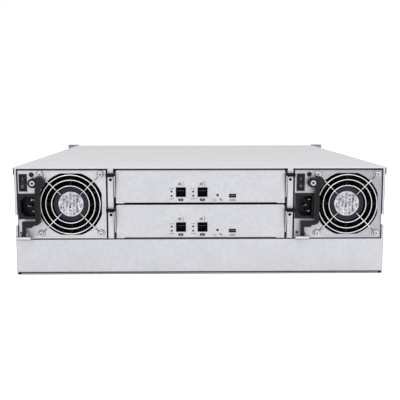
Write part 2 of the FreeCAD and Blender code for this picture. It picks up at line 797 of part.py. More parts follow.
def make_power_case():
    """Sheet-metal box: rear panel, folded tray, lid, front frame and lever bracket."""
    skin, long = g.power_sheet, module_depth - g.power_sheet * 2
    lid_under = module_height - skin
    tray = solid("power_tray", "y", skin, long,
                 [(0, 0), (power_width, 0), (power_width, lid_under),
                  (power_width - skin, lid_under), (power_width - skin, skin), (skin, skin),
                  (skin, lid_under), (0, lid_under)])
    lid = solid("power_lid", "y", skin, long, rect(0, lid_under, power_width, module_height))
    frame = solid("power_front", "y", module_depth - skin, skin,
                  rect(0, 0, power_width, module_height))
    sill = g.board_rise + g.module_plug_height + g.board_rise
    cut(frame, "y", module_depth - skin, skin,
        rect(sill / 2, sill, power_width - sill / 2, module_height - sill / 2))
    return [make_power_panel(), tray, lid, frame, make_lever_bracket()]


def make_fan_frame():
    """Square fan frame with a round bore, and the motor base on four struts across it."""
    body = new_body("fan_frame")
    start, half = fan_front, g.fan_size / 2
    pad(body, "y", start, g.fan_depth,
        rect(fan_x - half, fan_z - half, fan_x + half, fan_z + half))
    dress(body, "Fillet", g.fan_corner, lambda edge: runs_along(edge, "y")
          and at(abs(edge.CenterOfMass.x - fan_x.number), half)
          and at(abs(edge.CenterOfMass.z - fan_z.number), half))
    cut(body, "y", start, g.fan_depth, disc(fan_x, fan_z, fan_bore),
        *[disc(across, up, g.fan_screw_hole) for across, up in fan_corners(fan_x, fan_z)])
    strut, reach = g.strut_width / 2, fan_bore + g.fan_wall / 4
    for along, aside in ((reach, strut), (strut, reach)):
        pad(body, "y", start + g.fan_wall / 4, g.motor_depth - g.fan_wall / 4,
            rect(fan_x - along, fan_z - aside, fan_x + along, fan_z + aside))
    pad(body, "y", start, g.motor_depth, disc(fan_x, fan_z, g.motor_radius))
    bearing = g.shaft_radius + g.shaft_gap
    pad(body, "y", start + g.motor_depth, g.hub_depth - g.hub_wall * 2,
        disc(fan_x, fan_z, bearing * 3))
    cut(body, "y", start + g.hub_wall, g.motor_depth + g.hub_depth,
        disc(fan_x, fan_z, bearing))
    return body


def make_fan_rotor():
    """Cup-shaped hub with twisted blades, about its own axis, with the cup facing -Y."""
    body = new_body("fan_rotor")
    first = (g.hub_depth - g.blade_depth) / 2
    last = first + g.blade_depth
    sections = []
    for across, sweep in ((g.hub_radius - g.hub_wall / 2, g.blade_root_sweep),
                          (blade_tip + g.blade_thick * 2, g.blade_tip_sweep)):
        section = Drawing(body, "x", across)
        section.add([(first, -sweep), (first + g.blade_thick, -sweep),
                     (last, sweep), (last - g.blade_thick, sweep)])
        section.sketch.Visibility = False
        sections.append(section.sketch)
    blade = body.newObject("PartDesign::AdditiveLoft", "blade")
    blade.Profile = sections[0]
    blade.Sections = [sections[1]]
    blade.Ruled = True
    polar(body, [blade], "Y_Axis", g.blade_count)
    pad(body, "y", 0, g.hub_depth, disc(0, 0, g.hub_radius))
    cut(body, "y", first - g.blade_thick, g.blade_depth + g.blade_thick * 2,
        disc(0, 0, blade_tip * 1.5), disc(0, 0, blade_tip))
    cut(body, "y", first - g.blade_thick, g.hub_depth - g.hub_wall - first + g.blade_thick,
        disc(0, 0, g.hub_radius - g.hub_wall))
    tail = g.motor_depth - g.hub_wall
    pad(body, "y", -tail, g.hub_depth + tail, disc(0, 0, g.shaft_radius))
    return body


def wire_section(across, up):
    """Section of a guard wire, kept to four corners because the wires are long and thin."""
    return [(across + g.wire, up), (across, up + g.wire),
            (across - g.wire, up), (across, up - g.wire)]


def make_ring(radius, across=0, along=0, up=0):
    """A closed wire ring lying square to Y."""
    ring = new_body("ring")
    revolve(ring, "y", wire_section(radius, 0))
    place(ring, across, along, up)
    return ring


def make_spoke(turn):
    """One spoke, stepping back to the eye that a screw holds, turned about the fan axis."""
    bend = guard_diagonal - g.eye_radius
    route = [(g.spoke_inner, spoke_y), (bend - g.wire * 7, spoke_y),
             (bend - g.wire * 3, eye_y), (bend, eye_y)]
    body = new_body("spoke_body")
    path = Drawing(body, "z", 0)
    spots = [FreeCAD.Vector(as_size(a).number, as_size(b).number, 0) for a, b in route]
    lines = [path.sketch.addGeometry(Part.LineSegment(a, b)) for a, b in zip(spots, spots[1:])]
    for before, after in zip(lines, lines[1:]):
        path.join(before, 2, after, 1)
    ends = [(line, 1) for line in lines] + [(lines[-1], 2)]
    for (line, end), (across, along) in zip(ends, route):
        path.fix("DistanceX", line, end, across)
        path.fix("DistanceY", line, end, along)
    profile = Drawing(body, "x", g.spoke_inner)
    profile.add(wire_section(spoke_y, 0))
    pipe = body.newObject("PartDesign::AdditivePipe", "spoke")
    pipe.Profile = profile.sketch
    pipe.Spine = (path.sketch, [f"Edge{i + 1}" for i in range(len(lines))])
    pipe.Transition = "Right corner"
    path.sketch.Visibility = profile.sketch.Visibility = False
    body.Placement = FreeCAD.Placement(
        FreeCAD.Vector(0, 0, 0), FreeCAD.Rotation(FreeCAD.Vector(0, 1, 0), turn))
    return body


def make_finger_guard():
    """Three wire rings welded to four spokes, and the screws through the spokes' eyes."""
    outer = fan_bore - g.guard_inset
    pieces = [make_ring(radius, along=-g.guard_stand)
              for radius in (outer - g.guard_pitch * 2, outer - g.guard_pitch, outer)]
    pieces += [make_spoke(90 * i + 45) for i in range(4)]
    pieces += [make_ring(g.eye_radius, across, eye_y, up) for across, up in fan_corners()]
    guard = doc.addObject("Part::MultiFuse", "guard_wire")
    guard.Shapes = pieces
    screws = []
    under = eye_y - g.wire * 1.05
    for across, up in fan_corners():
        screw = new_body("guard_screw")
        pad(screw, "y", under - g.wire * 2, g.wire * 2, disc(across, up, g.guard_screw_head))
        pad(screw, "y", under, fan_front + g.fan_corner * 1.5 - under,
            disc(across, up, g.guard_screw))
        screws.append(screw)
    return [guard] + screws


def make_power_entry():
    """Inlet turned on its side, switch housing with its rocker pin, and the round lamp."""
    inlet = new_body("inlet")
    left, bottom = g.inlet_left, inlet_bottom
    pad(inlet, "y", -g.inlet_stand, g.inlet_stand,
        rect(left, bottom, left + g.inlet_width, bottom + g.inlet_height))
    gap = g.rocker_gap / 2
    pad(inlet, "y", 0, g.inlet_body_depth,
        rect(entry_left + gap, entry_bottom + gap, entry_right - gap, entry_top - gap))
    west = left + g.socket_left
    east = west + g.socket_width
    middle = bottom + g.inlet_height / 2
    south, north = middle - g.socket_height / 2, middle + g.socket_height / 2
    corner = g.socket_chamfer
    cut(inlet, "y", -g.inlet_stand, g.socket_depth,
        [(west + corner, south), (east, south), (east, north), (west + corner, north),
         (west, north - corner), (west, south + corner)])
    floor = g.socket_depth - g.inlet_stand
    start = g.pin_recess - g.inlet_stand
    line_x = east - g.pin_offset
    for across, up in ((line_x, middle - g.pin_spacing / 2), (line_x, middle + g.pin_spacing / 2),
                       (line_x - g.earth_offset, middle)):
        pad(inlet, "y", start, floor - start,
            rect(across - g.pin_width / 2, up - g.pin_width / 4,
                 across + g.pin_width / 2, up + g.pin_width / 4))
    switch = new_body("switch_housing")
    pad(switch, "y", -g.switch_stand, g.switch_stand,
        rect(g.switch_left, switch_bottom, g.switch_left + g.switch_width,
             switch_bottom + g.switch_height))
    outer_half, outer_side = well_half - gap, well_side - gap
    pad(switch, "y", 0, g.switch_depth,
        rect(switch_x - outer_side, switch_z - outer_half,
             switch_x + outer_side, switch_z + outer_half))
    wall = g.rocker_gap * 2
    cut(switch, "y", -g.switch_stand, g.switch_depth - wall + g.switch_stand,
        rect(switch_x - outer_side + wall, switch_z - outer_half + wall,
             switch_x + outer_side - wall, switch_z + outer_half - wall))
    pad(switch, "x", switch_x - outer_side + wall / 2, outer_side * 2 - wall,
        disc(g.rocker_pivot, switch_z, g.rocker_pin))
    lamp = new_body("status_lamp")
    pad(lamp, "y", -g.switch_stand / 2, g.switch_stand / 2,
        disc(g.lamp_x, lamp_z, g.lamp_radius))
    pad(lamp, "y", 0, g.switch_depth / 2,
        disc(g.lamp_x, lamp_z, g.lamp_radius - g.rocker_gap * 1.5))
    return [inlet, switch, lamp]


def make_rocker():
    """Two-faced rocker about its own pivot; it rests tipped to one side."""
    body = new_body("rocker")
    inside = g.rocker_gap * 3 + g.rocker_gap / 2
    side = well_side - inside
    half = well_half - inside - g.rocker_gap
    lift = g.rocker_rise + half * math.tan(math.radians(g.rocker_tilt.number))
    pad(body, "x", -side, side * 2,
        [(-g.rocker_rise, 0), (-lift, -half), (g.rocker_rise / 2, -half + g.rocker_rise / 4),
         (g.rocker_rise * 2, 0),
         (g.rocker_rise / 2, half - g.rocker_rise / 4), (-lift, half)])
    cut(body, "x", -side, side * 2, disc(0, 0, g.rocker_pin + g.shaft_gap))
    body.Placement = FreeCAD.Placement(
        FreeCAD.Vector(0, 0, 0),
        FreeCAD.Rotation(FreeCAD.Vector(1, 0, 0), -g.rocker_tilt.number))
    body.setExpression("Placement.Rotation.Angle", f"-{g.rocker_tilt.text}")
    return body


def make_release_lever():
    """Moulded lever: leg on the pivot, arm, ribbed grip and a head round the captive screw."""
    body = new_body("release_lever")
    face = -g.lever_back - g.lever_thick
    right = g.leg_left + g.leg_width
    foot = g.lever_pivot_z - g.lever_foot
    step = (g.arm_top - g.arm_bottom) / 3
    pad(body, "y", face, g.lever_thick,
        [(g.leg_left, foot), (right, foot), (right, g.arm_bottom),
         (right + step * 3, g.arm_bottom), (right + step * 4, g.arm_bottom + step),
         (g.grip_left, g.arm_bottom + step), (g.grip_right - step, g.grip_bottom),
         (g.grip_right, g.grip_bottom + step), (g.grip_right, captive_z),
         (g.grip_left, captive_z), (g.grip_left, g.arm_top), (g.leg_left, g.arm_top)])
    dress(body, "Fillet", g.lever_foot - g.shaft_gap,
          lambda edge: runs_along(edge, "x") and at(edge.CenterOfMass.z, foot))
    octagon = [(g.head_x + g.head_radius * math.cos(math.radians(45 * i + 22.5)),
                captive_z + g.head_radius * math.sin(math.radians(45 * i + 22.5)))
               for i in range(8)]
    pad(body, "y", face, g.lever_thick, octagon)
    dress(body, "Chamfer", g.lever_thick / 5, lambda edge: at(edge.CenterOfMass.y, face)
          and edge.BoundBox.ZMin > (captive_z - g.head_radius).number - 0.1
          and edge.BoundBox.XMin > (g.grip_right - 1).number)
    pad(body, "y", face, g.lever_back + g.lever_thick - g.boss_gap,
        disc(g.captive_x, captive_z, g.boss_radius))
    rib = (g.grip_right - g.grip_left) / 5
    pad(body, "y", face - g.grip_rib / 2, g.grip_rib,
        *[rect(g.grip_left + rib * i, g.arm_top, g.grip_left + rib * (i + 1),
               captive_z - g.head_radius) for i in (0, 3)])
    cut(body, "y", face, g.lever_back + g.lever_thick,
        disc(g.captive_x, captive_z, g.captive_shank + g.rocker_gap / 2))
    cut(body, "x", g.leg_left, g.leg_width,
        disc(-g.lever_pivot_y, g.lever_pivot_z, g.lever_pin + g.shaft_gap))
    screw = new_body("captive_screw")
    pad(screw, "y", face - g.captive_rise, g.captive_rise,
        disc(g.captive_x, captive_z, g.captive_head))
    pad(screw, "y", face, g.captive_length - face,
        disc(g.captive_x, captive_z, g.captive_shank))
    return [body, screw]


power_parts = {
    "case": make_power_case(),
    "fan_frame": [make_fan_frame()],
    "fan_rotor": [make_fan_rotor()],
    "finger_guard": make_finger_guard(),
    "power_entry": make_power_entry(),
    "switch_rocker": [make_rocker()],
    "release_lever": make_release_lever(),
}
power_offsets = {
    "fan_rotor": (fan_x, fan_front + g.motor_depth + g.rotor_gap, fan_z),
    "finger_guard": (fan_x, as_size(0), fan_z),
    "switch_rocker": (switch_x, g.rocker_pivot, switch_z),
}
for side, left_edge in (("left", -power_inner - power_width), ("right", power_inner)):
    for name, pieces in power_parts.items():
        across, along, up = power_offsets.get(name, (as_size(0), as_size(0), as_size(0)))
        group(f"{side}_power_{name}", pieces,
              left_edge + across, rear + along, module_bottom + up)


# ---------------------------------------------------------------- controllers
# Drawn from the middle of the lower edge of the rear panel, +Y going into the module.

board_half = half_panel - g.board_margin
board_top = g.board_rise + g.board_thick
port_middle = g.port_bottom + g.port_height / 2
port_places = [g.port_first, g.port_first + g.port_pitch]
link_places = [(place_x - g.link_offset, level)
               for place_x in port_places for level in (g.link_low, g.link_high)]


def block(across, up, width, height):
    return rect(across - width / 2, up - height / 2, across + width / 2, up + height / 2)


def make_controller_case():
    """Folded panel with a floor, two low sides and the four ejector pins."""
    body = new_body("controller_case")
    skin, floor = g.controller_sheet, g.relief_rise
    depth, top = module_depth, controller_height
    inner = half_panel - g.relief_end
    outline = [(-half_panel, 0), (-inner, 0), (-inner, floor), (inner, floor), (inner, 0),
               (half_panel, 0), (half_panel, top), (-half_panel, top)]
    pad(body, "y", 0, skin, outline)
    pad(body, "y", 0, g.fold_depth, rect(-half_panel, top - skin, half_panel, top))
    dress(body, "Fillet", g.bend_radius, lambda edge: runs_along(edge, "y")
          and at(edge.CenterOfMass.z, top) and at(abs(edge.CenterOfMass.x), half_panel))
    pad(body, "y", skin / 2, depth - skin / 2,
        [(-half_panel, floor), (half_panel, floor), (half_panel, g.controller_side),
         (half_panel - skin, g.controller_side), (half_panel - skin, floor + skin),
         (skin - half_panel, floor + skin), (skin - half_panel, g.controller_side),
         (-half_panel, g.controller_side)])
    gap = g.case_gap
    cut(body, "y", 0, skin,
        *[block(across, port_middle, g.port_width + gap, g.port_height + gap)
          for across in port_places],
        block(g.service_x, g.service_z, g.service_width + gap, g.service_height + gap),
        disc(g.status_x, g.status_z, g.status_radius + gap / 2),
        *[disc(across, up, g.link_radius + gap / 2) for across, up in link_places])
    post = g.board_thick * 4
    spots = [(across, along) for across in (g.board_thick * 4 - board_half,
                                            board_half - g.board_thick * 4)
             for along in (g.port_depth, depth - g.port_depth)]
    pad(body, "z", floor, g.board_rise - floor,
        *[block(across, along, post, post) for across, along in spots])
    reach = g.arm_gap + g.arm_thick + gap
    for start in (-half_panel - reach, half_panel - skin):
        pad(body, "x", start, reach + skin, disc(g.eject_pivot_y, g.eject_pivot_z, g.eject_pin))
    return body


def make_controller_board():
    """Circuit board with two host ports, a service port, lamps and the midplane plug."""
    body = new_body("controller_board")
    depth, wall = module_depth, g.port_wall
    start = g.controller_sheet * 2
    pad(body, "z", g.board_rise, g.board_thick,
        rect(-board_half, start, board_half, depth))
    for across in port_places:
        pad(body, "y", -wall, g.port_depth + wall,
            block(across, port_middle, g.port_width, g.port_height))
        cut(body, "y", -wall, g.port_depth,
            block(across, port_middle, g.port_width - wall * 2, g.port_height - wall * 2))
        pad(body, "y", g.port_mouth, g.port_depth - g.port_mouth,
            block(across, port_middle, g.port_width * 0.6, wall * 2))
        pad(body, "y", start, g.port_depth - start,
            rect(across - g.port_width / 2, g.board_rise, across + g.port_width / 2,
                 g.port_bottom + wall / 2))
    pad(body, "y", -wall / 2, g.port_depth / 2 + wall / 2,
        block(g.service_x, g.service_z, g.service_width, g.service_height))
    cut(body, "y", -wall / 2, g.port_depth / 2,
        block(g.service_x, g.service_z, g.service_width - wall * 2, g.service_height - wall * 2))
    guide = g.status_radius + wall
    lamps = [(g.status_x, g.status_z, g.status_radius)]
    lamps += [(across, up, g.link_radius) for across, up in link_places]
    for across, up, radius in lamps:
        pad(body, "y", 0, g.port_mouth, disc(across, up, radius))
    for across, top in [(g.status_x, g.status_z)] + link_places[1::2]:
        pad(body, "y", start, g.port_mouth,
            rect(across - guide, g.board_rise, across + guide, top + guide))
    pad(body, "y", depth - g.port_depth, g.port_depth,
        rect(-g.module_plug_width / 2, g.board_rise, g.module_plug_width / 2,
             g.board_rise + g.module_plug_height))
    chip = g.port_depth * 2
    fins = g.controller_side / 2
    pad(body, "z", board_top - wall, fins,
        rect(-chip, chip * 2, chip, chip * 3),
        rect(-chip * 1.5, chip * 4, -chip / 2, chip * 4.75),
        rect(chip / 2, chip * 4, chip * 1.5, chip * 4.75))
    return body


def make_ejector(side):
    """Thin arm beside the controller, with a round finger bar reaching over the post."""
    body = new_body("ejector")
    near = half_panel + g.arm_gap
    low = near if side > 0 else -near - g.arm_thick
    base = g.eject_pin * 2
    bar_y, bar_z = -g.bar_y, g.bar_z
    knee = g.eject_pivot_z * 2
    pad(body, "x", low, g.arm_thick,
        [(g.eject_pivot_y - base, g.eject_pivot_z - base),
         (g.eject_pivot_y + base, g.eject_pivot_z - base),
         (g.eject_pivot_y + base, knee),
         (bar_y + g.bar_radius, bar_z + g.bar_radius), (bar_y, bar_z + g.bar_radius),
         (bar_y - g.bar_radius, bar_z), (bar_y - g.bar_radius / 2, bar_z - g.bar_radius * 2),
         (-g.bar_radius, knee), (0, g.eject_pivot_z)])
    start = near - g.arm_gap * 1.2
    bar_length = power_inner - g.bar_room - start
    low = start if side > 0 else -start - bar_length
    pad(body, "x", low, bar_length, disc(bar_y, bar_z, g.bar_radius))
    low = near if side > 0 else -near - g.arm_thick
    cut(body, "x", low, g.arm_thick,
        disc(g.eject_pivot_y, g.eject_pivot_z, g.eject_pin + g.shaft_gap))
    return body


controller_parts = {
    "case": make_controller_case(),
    "board": make_controller_board(),
    "left_ejector": make_ejector(-1),
    "right_ejector": make_ejector(1),
}
for level, name in enumerate(("lower", "upper")):
    for part, body in controller_parts.items():
        group(f"{name}_controller_{part}", [body],
              0, rear, module_bottom + controller_pitch * level)


# ---------------------------------------------------------------- drive trays
# Drawn from the middle of the bay floor at the chassis front, +Y coming out of the bay.

def make_tray():
    """Carrier frame with rails and runners, the latch pin, and the disk between the rails."""
    body = new_body("carrier")
    gap = g.case_gap
    half, low = (bay_pitch - g.bezel_gap) / 2, -gap
    high = low + row_pitch - g.bezel_gap
    rim = g.bezel_rim
    pad(body, "y", gap, g.bezel_depth, rect(-half, low, half, high))
    cut(body, "y", gap + g.bezel_floor, g.bezel_depth,
        rect(rim - half, low + rim, half - rim, high - rim))
    window = (half - rim) * 2 / 3
    cut(body, "y", gap, g.bezel_floor,
        *[block(window * (i - 1), (low + high) / 2, window * 0.8, high - low - rim * 3)
          for i in range(3)])
    pad(body, "z", low + rim / 2, high - low - rim,
        disc(g.latch_pivot_x, g.latch_pivot_y, g.latch_pin))
    inner = g.drive_width / 2
    outer = inner + g.rail_thick
    length = g.rail_length + gap + g.bezel_floor / 2
    base = gap * 2
    pad(body, "y", -g.rail_length, length,
        [(inner, base), (g.runner, base), (g.runner, base + rim), (outer, base + rim),
         (outer, base + g.rail_height), (inner, base + g.rail_height)],
        [(-inner, base), (-inner, base + g.rail_height), (-outer, base + g.rail_height),
         (-outer, base + rim), (-g.runner, base + rim), (-g.runner, base)])
    drive = solid("drive", "y", -g.drive_setback - g.drive_length, g.drive_length,
                  rect(-inner, g.drive_rise, inner, g.drive_rise + g.drive_height))
    return [body, drive]


def make_tray_latch():
    """Front handle of a tray: a slotted plate on a barrel round the pin."""
    body = new_body("latch")
    rim = g.bezel_rim + g.case_gap
    low, high = rim - g.case_gap, row_pitch - g.bezel_gap - g.case_gap - rim
    face = g.latch_reach - g.latch_thick
    tip = g.latch_pivot_x - g.latch_length
    pad(body, "z", low, high - low,
        rect(tip, face, g.latch_pivot_x - g.latch_pin, g.latch_reach))
    pad(body, "z", low, high - low,
        disc(g.latch_pivot_x, g.latch_pivot_y, g.latch_barrel))
    middle = (low + high) / 2
    span = g.latch_length / 5
    cut(body, "y", face, g.latch_thick,
        *[block(g.latch_pivot_x - span * 2, middle + rise * g.latch_barrel * 2,
                span * 2.8, g.latch_thick) for rise in (-1, 0, 1)])
    cut(body, "y", face, g.latch_thick,
        block(g.latch_pivot_x - span * 4.4, middle, span * 0.4, g.latch_barrel * 4))
    cut(body, "z", low, high - low,
        disc(g.latch_pivot_x, g.latch_pivot_y, g.latch_pin + g.shaft_gap))
    return body


tray_pieces = make_tray()
latch_piece = make_tray_latch()
for row in range(4):
    for column in range(4):
        name = f"r{row + 1}c{column + 1}"
        group(f"drive_tray_{name}", tray_pieces, bay_x(column), front, row_z(row))
        group(f"tray_latch_{name}", [latch_piece], bay_x(column), front, row_z(row))


# ---------------------------------------------------------------- check and write

def finish():
    doc.recompute()
    for thing in doc.Objects:
        if "Invalid" in thing.State or "Error" in thing.State:
            raise SystemExit(f"{thing.Label} failed: {thing.State}")
    os.makedirs("parts", exist_ok=True)
    for thing in nodes:
        shape = thing.Shape
        if shape.isNull() or not shape.isValid() or not shape.Solids:
            raise SystemExit(f"{thing.Label} has no valid shape")
    for thing in nodes:
        thing.Shape.exportStep(f"parts/{thing.Label}.step")
        print(f"{thing.Label:32s} {len(thing.Shape.Solids):3d} solids "
              f"{thing.Shape.Volume / 1000:9.2f} cm3")


finish()
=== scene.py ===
"""Looks of a 3U disk shelf seen from its rear: zinc sheet, fans behind wire guards, controllers.

All lengths are metres in the part's frame: +Z up, +X right and +Y away from the rear panel.
"""
import math

import bpy
from mathutils import Matrix, Vector


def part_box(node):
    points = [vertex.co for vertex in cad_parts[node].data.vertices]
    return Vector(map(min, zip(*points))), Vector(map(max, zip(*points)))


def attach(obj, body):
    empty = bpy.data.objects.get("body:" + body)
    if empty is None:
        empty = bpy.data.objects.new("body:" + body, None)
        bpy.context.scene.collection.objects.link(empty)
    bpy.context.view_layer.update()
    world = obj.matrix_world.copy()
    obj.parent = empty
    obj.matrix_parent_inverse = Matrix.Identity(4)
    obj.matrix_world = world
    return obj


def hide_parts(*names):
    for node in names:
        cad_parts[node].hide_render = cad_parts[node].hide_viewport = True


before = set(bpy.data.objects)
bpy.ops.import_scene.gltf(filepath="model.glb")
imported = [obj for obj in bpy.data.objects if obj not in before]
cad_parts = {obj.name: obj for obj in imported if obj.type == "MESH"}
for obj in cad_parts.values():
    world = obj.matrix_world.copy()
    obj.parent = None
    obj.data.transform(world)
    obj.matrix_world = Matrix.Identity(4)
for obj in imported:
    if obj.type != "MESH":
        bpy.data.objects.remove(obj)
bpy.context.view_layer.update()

MM = 0.001
SIDES = ("left", "right")
LEVELS = ("lower", "upper")
TRAYS = [f"r{row}c{column}" for row in range(1, 5) for column in range(1, 5)]

# ---- sizes and places

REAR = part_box("chassis_tub")[0].y  # plane of the rear panels
FAN_UP = 1.25 * MM  # underside of the fan frame above the shelf
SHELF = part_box("left_power_case")[0].z  # underside of the rear modules
SHELF = min(SHELF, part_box("left_power_fan_frame")[0].z - FAN_UP)
MODULE_LEFT = {side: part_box(f"{side}_power_case")[0].x for side in SIDES}
CONTROLLER_BOTTOM = {level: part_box(f"{level}_controller_case")[0].z for level in LEVELS}
POST_INNER, POST_OUTER = 103.5 * MM, 111.5 * MM

# On a power module: across from its left edge and up from the shelf.
SWITCH = (6.8 * MM, 67.2 * MM)
LAMP = (17 * MM, 76.7 * MM)
INLET = (17 * MM, 38.9 * MM)
CAPTIVE_SCREW = (20 * MM, 67.4 * MM)
CAPTIVE_FACE = REAR - 9.75 * MM  # rear of the lever's head

# On a controller: across from its middle and up from its underside.
PORTS_MM = (-23.6, 2.3)  # host ports, in millimetres
PORT_UP = 13.25 * MM
PORT_LAMPS_MM = -11.2  # column of lamps, from its port
SERVICE_PORT = (38.3 * MM, 8.7 * MM)

WIRE = 0.55 * MM  # guard wire, radius
GUARD_RINGS = (22.3 * MM, 29.2 * MM, 35.3 * MM)
GUARD_STAND = 3.2 * MM  # rings in front of the panel
SPOKE_STAND = 1.75 * MM
SPOKE_INNER = 16 * MM
EYE_PITCH = 71.5 * MM
EYE_RADIUS = 3.8 * MM
EYE_Y = -WIRE * 1.05  # an eye's wire rests just off the panel
LABEL_RADIUS = 14.9 * MM
PRINT_RADIUS = 13.2 * MM
HEM_RISE = 0.55 * MM
SCREW_RADIUS = 2.9 * MM
SCREW_RISE = 1.7 * MM


def fan_centre(side):
    low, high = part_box(f"{side}_power_fan_frame")
    return Vector(((low.x + high.x) / 2, REAR, (low.z + high.z) / 2))


# ---- modelling helpers

def only(piece):
    """Leave one piece selected and active, out of edit mode."""
    if bpy.context.mode != "OBJECT":
        leave()
    bpy.ops.object.select_all(action="DESELECT")
    if piece is not None:
        piece.select_set(True)
        bpy.context.view_layer.objects.active = piece


def new_piece(name, add, **settings):
    """Add a primitive with one of bpy.ops.mesh's calls and name it."""
    only(None)
    add(**settings)
    piece = bpy.context.object
    piece.name = piece.data.name = name
    bpy.ops.object.transform_apply(location=True, rotation=True, scale=True)
    return piece


def block(name, low, high):
    """A box between two corners, ready for shaping."""
    low, high = Vector(low), Vector(high)
    return new_piece(name, bpy.ops.mesh.primitive_cube_add, size=1,
                     location=(low + high) / 2, scale=high - low)


ALONG_Y = (math.radians(90), 0, 0)  # lays the axis of a round piece along Y


def drum(name, centre, radius, depth, vertices=40):
    """A cylinder lying along Y, whose near face is at the centre's y."""
    middle = Vector(centre) + Vector((0, depth / 2, 0))
    return new_piece(name, bpy.ops.mesh.primitive_cylinder_add, vertices=vertices,
                     radius=radius, depth=depth, location=middle, rotation=ALONG_Y)


def pick(piece, kind, test):
    """Go into edit mode with only the faces or edges that a test picks selected."""
    only(piece)
    bpy.ops.object.mode_set(mode="EDIT")
    bpy.ops.mesh.select_mode(type=kind)
    bpy.ops.mesh.select_all(action="DESELECT")
    leave()
    mesh = piece.data
    if kind == "FACE":
        for face in mesh.polygons:
            face.select = test(face.center, face.normal)
    else:
        for edge in mesh.edges:
            ends = [mesh.vertices[i].co for i in edge.vertices]
            edge.select = test((ends[0] + ends[1]) / 2, (ends[1] - ends[0]).normalized())
    bpy.ops.object.mode_set(mode="EDIT")


def leave():
    bpy.ops.object.mode_set(mode="OBJECT")


def faces_rear(centre, normal):
    return normal.y < -0.99


def dent(piece, inset, shift, step=False, test=faces_rear):
    """Inset a flat face and shift it along Y, with a step's walls or sloping ones."""
    pick(piece, "FACE", test)
    bpy.ops.mesh.inset(thickness=inset)
    if step:
        bpy.ops.mesh.extrude_region_move(TRANSFORM_OT_translate={"value": (0, shift, 0)})
    else:
        bpy.ops.transform.translate(value=(0, shift, 0))
    leave()
    return piece


def bevel_edges(piece, offset, test, segments=2):
    pick(piece, "EDGE", test)
    bpy.ops.mesh.bevel(offset=offset, segments=segments, affect="EDGES")
    leave()
    return piece


def remove(*pieces):
    for piece in pieces:
        bpy.data.objects.remove(piece)


def soften(piece, width, segments=2):
    """Round all sharp edges of a finished piece."""
    only(piece)
    bevel = piece.modifiers.new("bevel", "BEVEL")
    bevel.width = width
    bevel.segments = segments
    bevel.limit_method = "ANGLE"
    bevel.angle_limit = sharp = math.radians(35)
    bpy.ops.object.modifier_apply(modifier="bevel")
    bpy.ops.object.shade_smooth_by_angle(angle=sharp)
    return piece


def hollow(piece, cutter):
    """Take one piece's shape out of another."""
    only(piece)
    boolean = piece.modifiers.new("cut", "BOOLEAN")
    boolean.operation = "DIFFERENCE"
    boolean.object = cutter
    bpy.ops.object.modifier_apply(modifier="cut")
    remove(cutter)


def joined(name, pieces):
    """Make one piece of several."""
    only(pieces[0])
    for piece in pieces:
        piece.select_set(True)
    bpy.ops.object.join()
    whole = bpy.context.object
    whole.name = whole.data.name = name
    return whole


def move(piece, offset, turn=0, axis="Y"):
    """Turn a piece's mesh by some degrees about an axis, and then move it."""
    piece.data.transform(Matrix.Rotation(math.radians(turn), 4, axis))
    piece.data.transform(Matrix.Translation(Vector(offset)))
    return piece


def copied(piece, name, offset=(0, 0, 0), turn=0, axis="Y"):
    """A copy with its own mesh, turned and moved."""
    twin = piece.copy()
    twin.data = piece.data.copy()
    twin.name = twin.data.name = name
    bpy.context.collection.objects.link(twin)
    return move(twin, offset, turn, axis)


def coat(piece, *materials):
    for material in materials:
        piece.data.materials.append(material)


def dress(piece, body, slot, *materials):
    """Give a piece its finish, unless it has one, and let it move with a body."""
    if materials:
        piece.data.materials.clear()
    coat(piece, *materials)
    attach(piece, body)


# ---- shader helpers

def link(tree, start, end):
    tree.links.new(start, end)


def feed(tree, socket, value):
    """Give a socket a number, or what comes out of another socket."""
    if isinstance(value, (int, float)):
        socket.default_value = value
    else:
        link(tree, value, socket)


def node_of(tree, kind):
    """The node of one kind that a tree starts with."""
    return next(node for node in tree.nodes if node.type == kind)


def coordinates(tree, centre=(0, 0, 0)):
    """Coordinates measured from a centre, in metres."""
    texture = tree.nodes.new("ShaderNodeTexCoord")
    mapping = tree.nodes.new("ShaderNodeMapping")
    mapping.inputs["Location"].default_value = [-value for value in centre]
    link(tree, texture.outputs["Object"], mapping.inputs["Vector"])
    return mapping.outputs["Vector"]


def noise(tree, vector, scale, detail=3.0, roughness=0.5):
    """The grey value of a noise texture."""
    node = tree.nodes.new("ShaderNodeTexNoise")
    for name, value in (("Vector", vector), ("Scale", scale), ("Detail", detail),
                        ("Roughness", roughness)):
        feed(tree, node.inputs[name], value)
    return node.outputs["Fac"]


def ramp(tree, value, low, high, out_low, out_high):
    """Map one range of a value onto another."""
    node = tree.nodes.new("ShaderNodeMapRange")
    for name, given in (("Value", value), ("From Min", low), ("From Max", high),
                        ("To Min", out_low), ("To Max", out_high)):
        feed(tree, node.inputs[name], given)
    return node.outputs["Result"]


def calc(tree, operation, value, *others):
    """One operation on two values, or on each further one and the result so far."""
    for other in others:
        node = tree.nodes.new("ShaderNodeMath")
        node.operation = operation
        feed(tree, node.inputs[0], value)
        feed(tree, node.inputs[1], other)
        value = node.outputs["Value"]
    return value


def shade(tree, color, amount):
    """A colour made lighter or darker by a factor."""
    node = tree.nodes.new("ShaderNodeVectorMath")
    node.operation = "SCALE"
    link(tree, color, node.inputs[0])
    link(tree, amount, node.inputs["Scale"])
    return node.outputs["Vector"]


